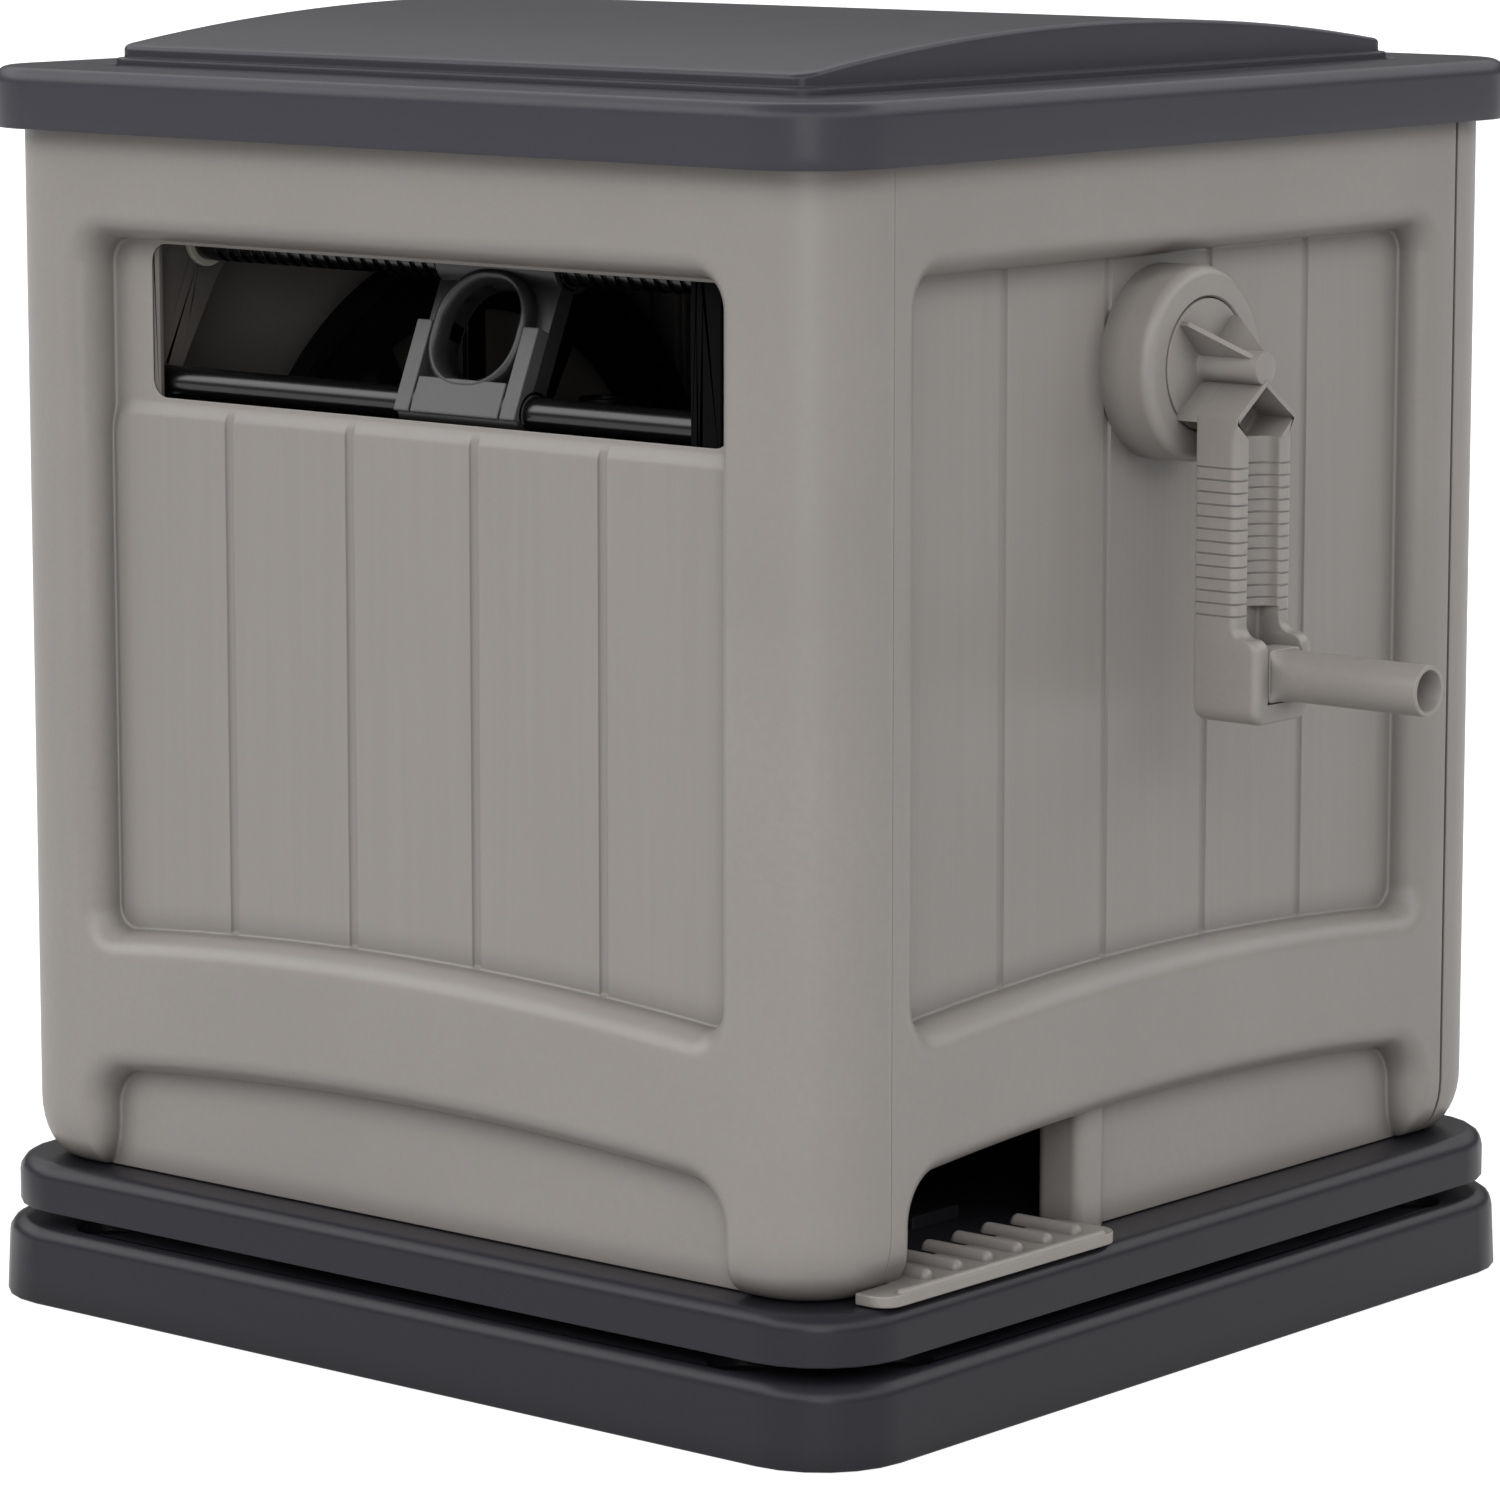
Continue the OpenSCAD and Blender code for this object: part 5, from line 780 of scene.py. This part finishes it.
def lid_shape():
    """Lid from the inside of its crown down and out, and then up over the outside."""
    rows, soup = [], Soup()

    def level(inset, z, r=None, hx=LID_W / 2, hy=LID_D / 2):
        loop = rect_loop(hx - inset, hy - inset, BOX_R - inset if r is None else r)
        rows.append(np.column_stack([loop, np.full(len(loop), z)]))

    def over(inset, dz, hx, hy, r):
        loop = rect_loop(hx - inset, hy - inset, r - inset)
        rows.append(np.column_stack([loop, crown_z(loop[:, 1]) + dz]))

    in_w, in_d, in_r = CROWN_W - WALL, CROWN_D - WALL, CROWN_R - WALL
    crown_grid(soup, in_w - CROWN_IN, in_d - CROWN_IN, -WALL, False)
    over(CROWN_IN, -WALL, in_w, in_d, CROWN_IN)
    over(0.0, -WALL, in_w, in_d, in_r)
    level(0, BOX_TOP, in_r, in_w, in_d)
    for inset, z in ((WALL, BOX_TOP), (WALL, LID_LOW + 0.6), (WALL - 0.6, LID_LOW), (1.0, LID_LOW),
                     (0.3, LID_LOW + 0.3), (0.0, LID_LOW + 1.0), (0.0, LID_LOW + 6)):
        level(inset, z)
    for back, up in quarter(10):
        level(LID_EDGE_R * back, LID_TOP - LID_EDGE_R + LID_EDGE_R * up)
    level(20, LID_TOP, 30)
    for out, dz in [(out + LEDGE_W, dz) for out, dz in MOAT] + LEDGE:
        level(-out, LID_TOP + dz, CROWN_R + out, CROWN_W, CROWN_D)
    loop, low = rect_loop(CROWN_W, CROWN_D, CROWN_R), LID_TOP + CROWN_WALL_H
    for share in (0.35, 0.7):
        rows.append(np.column_stack([loop, low + (crown_z(loop[:, 1]) - CROWN_EDGE - low) * share]))
    for back, up in quarter(7):
        over(CROWN_EDGE * back, -CROWN_EDGE + CROWN_EDGE * up, CROWN_W, CROWN_D, CROWN_R)
    over(10, 0, CROWN_W, CROWN_D, CROWN_R + 8)
    over(CROWN_IN, 0, CROWN_W, CROWN_D, CROWN_IN)
    soup.patch(rows, closed=True)
    crown_grid(soup, CROWN_W - CROWN_IN, CROWN_D - CROWN_IN, 0.0, True)
    return soup


piece("lid_shell", lid_shape(), "lid", LID_DARK, "lid", sharp=35)
knuckles = Soup()
hook = turned(HINGE_Y, HINGE_Z, KNUCKLE_R, 180, 360, 18)
hook += [(HINGE_Y + y, HINGE_Z + z) for y, z in ((8, 9), (-0.25, 27), (-9.25, 27), (-9.25, 9))]
for mid in (-HINGE_X, HINGE_X):
    prism_along_x(knuckles, hook, mid - KNUCKLE_W / 2, mid + KNUCKLE_W / 2)
piece("lid_knuckles", knuckles, "lid", LID_DARK, "lid", bevel=1.0)

# crank
FACE_X, DISC_X, DISC_R, PEG_R, PEG_X = 273.3, 264.3, 31.0, 8.0, 307.3
HOUSING_R, HOUSING_BORE, HOUSING_BACK, HOUSING_RIM, BUSH_R = 46.0, 31.6, 6.0, 6.0, 13.0
ARM_BACK, ARM_FRONT, FORK_FRONT, ARM_HALF, ARM_R = 283.6, 307.6, 320.3, 22.5, 4.5
ARM_LOW, FORK_TOP, WINDOW_TOP, EAVE, ROOF_TOP, ROOF_T = 313.5, 353.5, 365.75, 456.5, 472.5, 3.0
ARM_LOW_R, FORK_TOP_R, HOLLOW_DEEP = 8.0, 6.0, 21.0
CHANNEL_R, POCKET_X, POCKET_HALF, POCKET_LOW = 12.4, 294.8, 12.9, 323.2
GROOVES, GROOVE_PITCH, GROOVE_FROM = 13, 5.75, 433.0
ARM_GROOVE = [(-0.45, 0.0), (-0.22, 0.5), (0.22, 0.5), (0.45, 0.0)]
GUSSET_HALF, GUSSET_R = 1.25, 29.0
GRIP_Z, GRIP_END, GRIP_R, GRIP_BORE, ROOT_R, ROOT_HALF = 336.0, 400.6, 12.0, 9.5, 12.4, 12.5
GRIP_EDGE, GRIP_DEEP, GRIP_SIDES = 0.9, 60, 72
PIN = [(-18.5, 0.0), (-18.5, 3.4), (-17.9, 4.0), (22.0, 4.0), (22.7, 3.7), (23.0, 3.0), (23.0, 0.0)]


def arm_section(back, front, half, inner, depth, lip_out, lip_in, square):
    """One level of the arm, counterclockwise from its back left corner, with the channel in its front."""
    power = 0.12 if square else 1.0
    back_r, lip_out = min(1.5, half * 0.5), min(lip_out, half * 0.4)
    out = turned(back + back_r, -half + back_r, back_r, 180, 270, 5)
    out += turned(front - lip_out, -half + lip_out, lip_out, 270, 360, 5)
    out += turned(front - lip_in, -inner - lip_in, lip_in, 0, 90, 5)
    for k in range(1, 24):
        a = radians(-90 + 7.5 * k)
        y = copysign(abs(sin(a)) ** power, sin(a)) if k != 12 else 0.0
        out.append((front - lip_in - (depth - lip_in) * cos(a) ** power, inner * y))
    out += turned(front - lip_in, inner + lip_in, lip_in, 270, 360, 5)
    out += turned(front - lip_out, half - lip_out, lip_out, 0, 90, 5)
    return out + turned(back + back_r, half - back_r, back_r, 90, 180, 5)


def arm_levels():
    """Sections of the arm from its lower end up to the ridge of its roof."""
    levels = []

    def add(z, front, half=ARM_HALF, inner=CHANNEL_R, depth=CHANNEL_R, lip_out=ARM_R, lip_in=2.0,
            square=False, back=ARM_BACK):
        section = arm_section(back, front, half, inner, depth, lip_out, lip_in, square)
        levels.append([(x, y, z) for x, y in section])

    def pocket(z, front, cut=0.0):
        add(z, front - cut, ARM_HALF - cut, POCKET_HALF, front - cut - POCKET_X, ARM_R, 1.2, True)

    for back, up in quarter(7):
        inset = ARM_LOW_R * (1 - up)
        half = ARM_HALF - inset
        add(ARM_LOW + ARM_LOW_R * back, FORK_FRONT - 0.5 * inset, half, POCKET_HALF, 0.0,
            min(ARM_R, (half - POCKET_HALF) * 0.7), 0.0, True, ARM_BACK + 0.3 * inset)
    add(POCKET_LOW, FORK_FRONT, ARM_HALF, POCKET_HALF, 0.0, ARM_R, 0.0, True)
    pocket(POCKET_LOW, FORK_FRONT)
    bend_x = FORK_FRONT - FORK_TOP_R
    bend_r = bend_x - ARM_FRONT
    for x, z in (turned(bend_x, FORK_TOP - FORK_TOP_R, FORK_TOP_R, 0, 90, 7)
                 + turned(bend_x, FORK_TOP + bend_r, bend_r, 270, 180, 7)[1:]):
        pocket(z, x)
    for i in range(GROOVES - 1, -1, -1):
        z = GROOVE_FROM - GROOVE_PITCH * i
        if i == GROOVES - 2:
            pocket(WINDOW_TOP, ARM_FRONT)
            add(WINDOW_TOP, ARM_FRONT)
        for dz, cut in ARM_GROOVE:
            if i == GROOVES - 1:
                pocket(z + dz, ARM_FRONT, cut)
            else:
                add(z + dz, ARM_FRONT - cut, ARM_HALF - cut, CHANNEL_R + 0.3 * cut, CHANNEL_R + 0.3 * cut)
    slope = ARM_HALF / (ROOF_TOP - EAVE)
    hollow, widest = EAVE - 11.0, EAVE - 3.0
    add(hollow, ARM_FRONT)
    add(hollow, ARM_FRONT, ARM_HALF, CHANNEL_R, HOLLOW_DEEP, ARM_R, 0.6, True)
    wide = slope * (ROOF_TOP - ROOF_T - widest) - 0.4
    add(widest, ARM_FRONT, ARM_HALF, wide, HOLLOW_DEEP, 1.2, 0.3, True)
    for z in (EAVE, EAVE + 4.0, EAVE + 8.0, EAVE + 12.0, ROOF_TOP - ROOF_T - 0.2):
        inner = min(wide, slope * (ROOF_TOP - ROOF_T - z))
        add(z, ARM_FRONT, slope * (ROOF_TOP - z), inner, HOLLOW_DEEP, 0.8, 0.3, True)
    add(ROOF_TOP - ROOF_T, ARM_FRONT, slope * ROOF_T, 0.1, 0.0, 0.8, 0.0, True)
    add(ROOF_TOP, ARM_FRONT, 0.2, 0.02, 0.0, 0.8, 0.0, True)
    return levels


def oval(x, wy, wz, power):
    """Ring of the grip's section, from square at a high power to round at 2."""
    ring = []
    for k in range(GRIP_SIDES):
        c, d = cos(2 * pi * k / GRIP_SIDES), sin(2 * pi * k / GRIP_SIDES)
        y, z = (copysign(abs(v) ** (2 / power), v) for v in (c, d))
        ring.append((x, wy * y, GRIP_Z + wz * z))
    return ring[::-1]


housing = Soup()
cup = [(FLOOR_X, BUSH_R), (FLOOR_X, HOUSING_R)]
cup += turned(FACE_X - HOUSING_RIM, HOUSING_R - HOUSING_RIM, HOUSING_RIM, 90, 0, 8)
cup += [(FACE_X, HOUSING_BORE + 0.8), (FACE_X - 0.8, HOUSING_BORE), (FLOOR_X + HOUSING_BACK, HOUSING_BORE),
        (FLOOR_X + HOUSING_BACK, BUSH_R), (FLOOR_X, BUSH_R)]
lathe_along_x(housing, cup, 0, CRANK_Z, 96)

arm = Soup()
levels = arm_levels()
ends = tuple(range(len(levels[0])))
arm.patch(levels, closed=True)
arm.add(levels[0], [ends[::-1]])
arm.add(levels[-1], [ends])

head = Soup()
disc = [(DISC_X, 0.0), (DISC_X, DISC_R), (FACE_X - 0.8, DISC_R), (FACE_X - 0.2, DISC_R - 0.3),
        (FACE_X, DISC_R - 0.9), (FACE_X, PEG_R + 2.5), (FACE_X + 0.7, PEG_R + 0.8), (FACE_X + 2.5, PEG_R),
        (PEG_X - 1.0, PEG_R), (PEG_X - 0.3, PEG_R - 0.3), (PEG_X, PEG_R - 1.0), (PEG_X, 0.0)]
lathe_along_x(head, disc, 0, CRANK_Z, 96)
gusset = [(FACE_X - 2, 4.0), (PEG_X - 4, 4.0), (PEG_X - 4, PEG_R), (FACE_X + 4, GUSSET_R),
          (FACE_X - 2, GUSSET_R)]
for side in (-1, 1):
    ry, rz = side * sin(radians(45)), cos(radians(45))
    prism(head, *([(x, r * ry - t * rz, CRANK_Z + r * rz + t * ry) for x, r in gusset]
                  for t in (-GUSSET_HALF, GUSSET_HALF)))
roof = [(-ARM_HALF, EAVE - ROOF_T), (0, ROOF_TOP - ROOF_T), (ARM_HALF, EAVE - ROOF_T), (ARM_HALF, EAVE),
        (0, ROOF_TOP), (-ARM_HALF, EAVE)]
prism_along_x(head, roof, FACE_X - 1, ARM_BACK + 1)

# rows of the grip: x, half width, half height, power of the section
grip_rows = [(ARM_FRONT - ROOT_R * cos(a), ROOT_HALF, ROOT_R * sin(a), 12.0)
             for a in map(radians, (2, 10, 20, 32, 45, 60, 75, 90))]
grip_rows += [(FORK_FRONT - 0.7, ROOT_HALF, ROOT_R, 12.0),
              (FORK_FRONT - 0.2, ROOT_HALF - 0.2, ROOT_R - 0.2, 11.0),
              (FORK_FRONT, ROOT_HALF - 0.6, ROOT_R - 0.5, 10.0),
              (FORK_FRONT + 0.4, GRIP_R + 0.1, GRIP_R + 0.1, 6.0)]
grip_rows += [(FORK_FRONT + x, GRIP_R, GRIP_R, power)
              for x, power in ((1.2, 4.2), (2.6, 3.2), (4.6, 2.6), (7.0, 2.25), (10.0, 2.0))]
grip_rows += [(x, r, r, 2.0) for x, r in [(350.0, GRIP_R), (375.0, GRIP_R)]
              + turned(GRIP_END - GRIP_EDGE, GRIP_R - GRIP_EDGE, GRIP_EDGE, 90, 0, 4)
              + [(GRIP_END, GRIP_BORE + 0.5), (GRIP_END - 0.5, GRIP_BORE), (GRIP_END - GRIP_DEEP, GRIP_BORE),
                 (GRIP_END - GRIP_DEEP, 0.0)]]
grip = Soup()
grip.patch([oval(grip_rows[0][0], 0.0, 0.0, 2.0)] + [oval(*row) for row in grip_rows], closed=True)
for name, soup, body, node, sharp in (
        ("housing_cup", housing, "cabinet", "crank_housing", 40), ("arm_body", arm, "crank", "crank_arm", 35),
        ("crank_head", head, "crank", "crank_arm", 35), ("grip_tube", grip, "grip", "crank_grip", 45)):
    piece(name, soup, body, CRANK_TAUPE, node, sharp)
pin = Soup()
lathe_along_x(pin, PIN, 0, 0, 32)
pin_shape = moved(pin, lambda v: np.column_stack([ARM_FRONT - v[:, 1], v[:, 0], GRIP_Z + v[:, 2]]))
piece("grip_pivot", pin_shape, "crank", STEEL, "grip_pin")

# hose guide, made upright and then leaned between its rod and the screw
GUIDE_X, GUIDE_HALF, GUIDE_T = 24.0, 38.0, 10.0
ROD_Y, ROD_Z, LEAD_Y, LEAD_Z = -234.0, 459.0, -205.0, 527.0
SPAN = hypot(LEAD_Y - ROD_Y, LEAD_Z - ROD_Z)
LEAN_S, LEAN_C = (LEAD_Y - ROD_Y) / SPAN, (LEAD_Z - ROD_Z) / SPAN
EYE_MID, EYE_X, EYE_Z, EYE_R = (8.0 + SPAN - 11.0) / 2, 23.0, 24.0, 20.0
FRONT, BACK = -GUIDE_T / 2, GUIDE_T / 2
STRIP_W, STRIP_FRONT, STRIP_LOW, STRIP_TOP = 9.5, -12.6, -7.0, 38.0
SILL_HALF, SILL_TOP = GUIDE_HALF - 10.6, 10.5
TUBE_EDGE = 0.8
EYE_LIP = [(0.0, BACK), (0.0, FRONT - 1), (0.25, -8.5), (1.0, -11.0), (2.2, -12.4), (3.4, -12.8),
           (4.6, -12.3), (5.6, -10.8), (6.1, -8.5), (6.2, FRONT + 1)]


def in_guide(pts):
    """Places points of the upright guide at its leaning place."""
    x, y, z = pts.T
    return np.column_stack([GUIDE_X + x, ROD_Y + y * LEAN_C + z * LEAN_S, ROD_Z - y * LEAN_S + z * LEAN_C])


def eye_loop(out, y):
    """Loop round the eye at a distance outside it and a depth."""
    x0, x1, z0, z1 = -EYE_X - out, EYE_X + out, EYE_MID - EYE_Z - out, EYE_MID + EYE_Z + out
    return [(x, y, z) for x, z in rounded_outline(x0, z0, x1, z1, EYE_R + out, 10)]


guide = Soup()
outline = rounded_outline(-GUIDE_HALF, 0.0, GUIDE_HALF, SPAN, 0.5, 10)
front, back = ([(x, y, z) for x, z in outline] for y in (FRONT, BACK))
rows = [eye_loop(0, BACK), eye_loop(0, FRONT), eye_loop(3, FRONT), front, back, eye_loop(0, BACK)]
guide.patch(rows, closed=True)
for z, r, bore in ((0.0, 12.0, 8.35), (SPAN, 15.0, 11.35)):
    end, inset, edge = GUIDE_HALF, GUIDE_HALF - TUBE_EDGE, r - TUBE_EDGE
    tube = [(-end, bore), (-end, edge), (-inset, r), (inset, r), (end, edge), (end, bore), (-end, bore)]
    lathe_along_x(guide, tube, 0, z)
strips = Soup()
for x0, x1 in ((-GUIDE_HALF, -GUIDE_HALF + STRIP_W), (GUIDE_HALF - STRIP_W, GUIDE_HALF)):
    block(strips, (x0, STRIP_FRONT, STRIP_LOW), (x1, FRONT + 1, STRIP_TOP))
block(strips, (-SILL_HALF, STRIP_FRONT, STRIP_LOW), (SILL_HALF, FRONT + 1, SILL_TOP))
lip = Soup()
lip.patch([eye_loop(out, y) for out, y in EYE_LIP], closed=True)
# body and eye lip in the darker grey as painted shade, strips in the lit grey
for name, soup, material, sharp, bevel in (
        ("guide_body", guide, GUIDE_PAINTED_SHADE, 40, 0.8), ("guide_strips", strips, GUIDE_DARK, 40, 0.8),
        ("guide_eye_lip", lip, GUIDE_PAINTED_SHADE, 60, 0.0)):
    piece(name, moved(soup, in_guide), "guide", material, "hose_guide", sharp, bevel)


# CAD nodes: rounded edges and finishes
def join_and_smooth():
    """Joins the tessellation's points and smooths it before its edges are rounded."""
    group = bpy.data.node_groups.new("join_and_smooth", "GeometryNodeTree")
    for way in ("INPUT", "OUTPUT"):
        group.interface.new_socket("Geometry", in_out=way, socket_type="NodeSocketGeometry")
    kinds = ("NodeGroupInput", "GeometryNodeRemoveAttribute", "GeometryNodeMergeByDistance",
             "GeometryNodeSetShadeSmooth", "NodeGroupOutput")
    chain = [group.nodes.new(kind) for kind in kinds]
    chain[1].inputs["Name"].default_value = "custom_normal"
    chain[2].inputs["Distance"].default_value = 1e-6
    for a, b in zip(chain, chain[1:]):
        group.links.new(a.outputs["Geometry"], b.inputs["Geometry"])
    return group


JOIN = join_and_smooth()
NODE_EDGE_ANGLE = 32.0
# material, rounding of the edges in millimetres, nodes
FINISH = [
    (BASE_DARK, 1.2, "lower_base"), (BASE_DARK, 1.0, "swivel_plate"),
    (STEEL, 0.8, "pivot_bolt pivot_nut"),
    (STEEL, 0.6, "foot_screws panel_screws housing_screws crank_shaft tie_screws gear_screws"),
    (STEEL, 0.5, "hinge_pins crank_screw idler_axle bracket_screws"),
    (STEEL, 0.4, "pivot_washer"), (STEEL, 0.3, "idler_clip"), (STEEL, 0, "bearing_balls"),
    (PALE, 0.5, "swivel_bush crank_bush right_bearing left_bush bracket_bushes track_follower"),
    (PALE, 0.4, "ball_cage"), (BLACK, 0.8, "left_flange right_flange"),
    (BLACK, 0.6, "reel_drum inlet_spindle supply_tube outlet_fitting"),
    (BLACK, 0.3, "crank_pinion reel_gear idler_gear screw_gear"), (RUBBER, 0, "inlet_seals"),
    (ROD_BLACK, 0.5, "guide_rod"), (ROD_BLACK, 0.25, "lead_screw"),
    # both brackets are painted shade: the left one a darker copy of the taupe, the right one near-black
    (TAUPE_PAINTED_SHADE, 0.6, "left_bracket"), (BRACKET_PAINTED_SHADE, 0.6, "right_bracket"),
]
for material, width, names in FINISH:
    for obj in (NODES[name] for name in names.split()):
        for slot in obj.material_slots:
            slot.link = "OBJECT"
            slot.material = material
        if width:
            obj.modifiers.new("join", "NODES").node_group = JOIN
            soften(obj, width, NODE_EDGE_ANGLE, 2)

# floor
FLOOR_REACH, FLOOR_SINK, FLOOR_GREY = 40.0, 0.0005, 0.45
FLOOR_SEEN, FLOOR_MIRRORED = 0.86, 0.5
floor_mesh = bpy.data.meshes.new("floor")
floor_corners = [(x * FLOOR_REACH, y * FLOOR_REACH, 0) for x, y in ((-1, -1), (1, -1), (1, 1), (-1, 1))]
floor_mesh.from_pydata(floor_corners, [], [(0, 1, 2, 3)])
floor = linked("floor", floor_mesh)
floor.location.z = -FLOOR_SINK
ground, g, look = new_material("pale_floor")
g.put(look["Base Color"], (FLOOR_GREY, FLOOR_GREY, FLOOR_GREY, 1))
g.put(look["Roughness"], 0.9)
g.put(look["Specular IOR Level"], 0.1)
path = g.node("LightPath").outputs
mirrored = g.times(path["Is Glossy Ray"], FLOOR_MIRRORED)
lift = g.calc("MULTIPLY_ADD", path["Is Camera Ray"], FLOOR_SEEN, mirrored)
glow = g.node("Emission", Color=WHITE, Strength=lift)
both = g.node("AddShader")
for socket, part in zip(both.inputs, (g.tree.nodes["Principled BSDF"], glow)):
    g.put(socket, part.outputs[0])
g.put(g.tree.nodes["Material Output"].inputs["Surface"], both.outputs[0])
floor_mesh.materials.append(ground)

# world: a bright band above the horizon over a dimmer sky, and a white backdrop along the horizon
SKY_BASE, SKY_BAND, SKY_LEAN = 0.17, 2.1, 0.3
BAND_RISE, BAND_FALL, HORIZON, BEHIND = (0.22, 0.42), (0.66, 0.84), (0.0, 0.06), (0.35, 0.8)
SKY_BEHIND, BACKDROP_BEHIND = 0.42, 0.15
world = bpy.data.worlds.new("studio")
SCENE.world = world
world.use_nodes = True
g = Graph(world.node_tree)
path = g.node("LightPath").outputs
toward = g.node("SeparateXYZ", Vector=g.node("TexCoord").outputs["Generated"]).outputs


def facing(x, y):
    """How far a direction of the sky points along (x, y)."""
    return g.calc("ADD", g.times(toward["X"], x), g.times(toward["Y"], y))


def eased(value, limits, start, end):
    return g.ranged(value, *limits, start, end, "SMOOTHSTEP")


lean = g.calc("MULTIPLY_ADD", facing(-0.5, -0.866), SKY_LEAN, 1.0)
behind = facing(-0.68, 0.73)
band = g.times(eased(toward["Z"], BAND_RISE, 0.0, 1.0), eased(toward["Z"], BAND_FALL, 1.0, 0.0))
sky = g.calc("MULTIPLY_ADD", g.times(band, lean), SKY_BAND, SKY_BASE)
sky = g.times(sky, eased(behind, BEHIND, 1.0, SKY_BEHIND))
low = g.times(path["Is Glossy Ray"], eased(toward["Z"], HORIZON, 1.0, 0.0))
low = g.times(low, eased(behind, BEHIND, 1.0, BACKDROP_BEHIND))
seen = g.calc("MAXIMUM", path["Is Camera Ray"], path["Is Transmission Ray"])
white = g.calc("MAXIMUM", seen, low)
background = world.node_tree.nodes["Background"].inputs
g.put(background["Strength"], g.calc("MULTIPLY_ADD", white, g.calc("SUBTRACT", 1.0, sky), sky))
background["Color"].default_value = WHITE

# light
LIGHT_AT, LIGHT_AIM = Vector((2.3, -2.9, 0.85)), Vector((0, 0, 0.45))
lamp = bpy.data.lights.new("front_box", "AREA")
lamp.shape = "RECTANGLE"
lamp.size, lamp.size_y = 1.4, 1.0
lamp.energy = 16
light = linked("front_box", lamp)
light.location = LIGHT_AT
light.rotation_euler = (LIGHT_AIM - LIGHT_AT).to_track_quat("-Z", "Y").to_euler()

# camera
CAMERA_AT = Vector((1.99589, -2.38050, 0.76326))
AZIMUTH, TILT = radians(40.04811), radians(9.01246)
optics = bpy.data.cameras.new("camera")
optics.sensor_fit = "HORIZONTAL"
optics.sensor_width = 36.0
optics.lens = 151.258
optics.clip_end = 60.0
camera = linked("camera", optics)
camera.location = CAMERA_AT
forward = Vector((-sin(AZIMUTH) * cos(TILT), cos(AZIMUTH) * cos(TILT), -sin(TILT)))
camera.rotation_euler = forward.to_track_quat("-Z", "Y").to_euler()
SCENE.camera = camera
SCENE.view_settings.view_transform = "Standard"
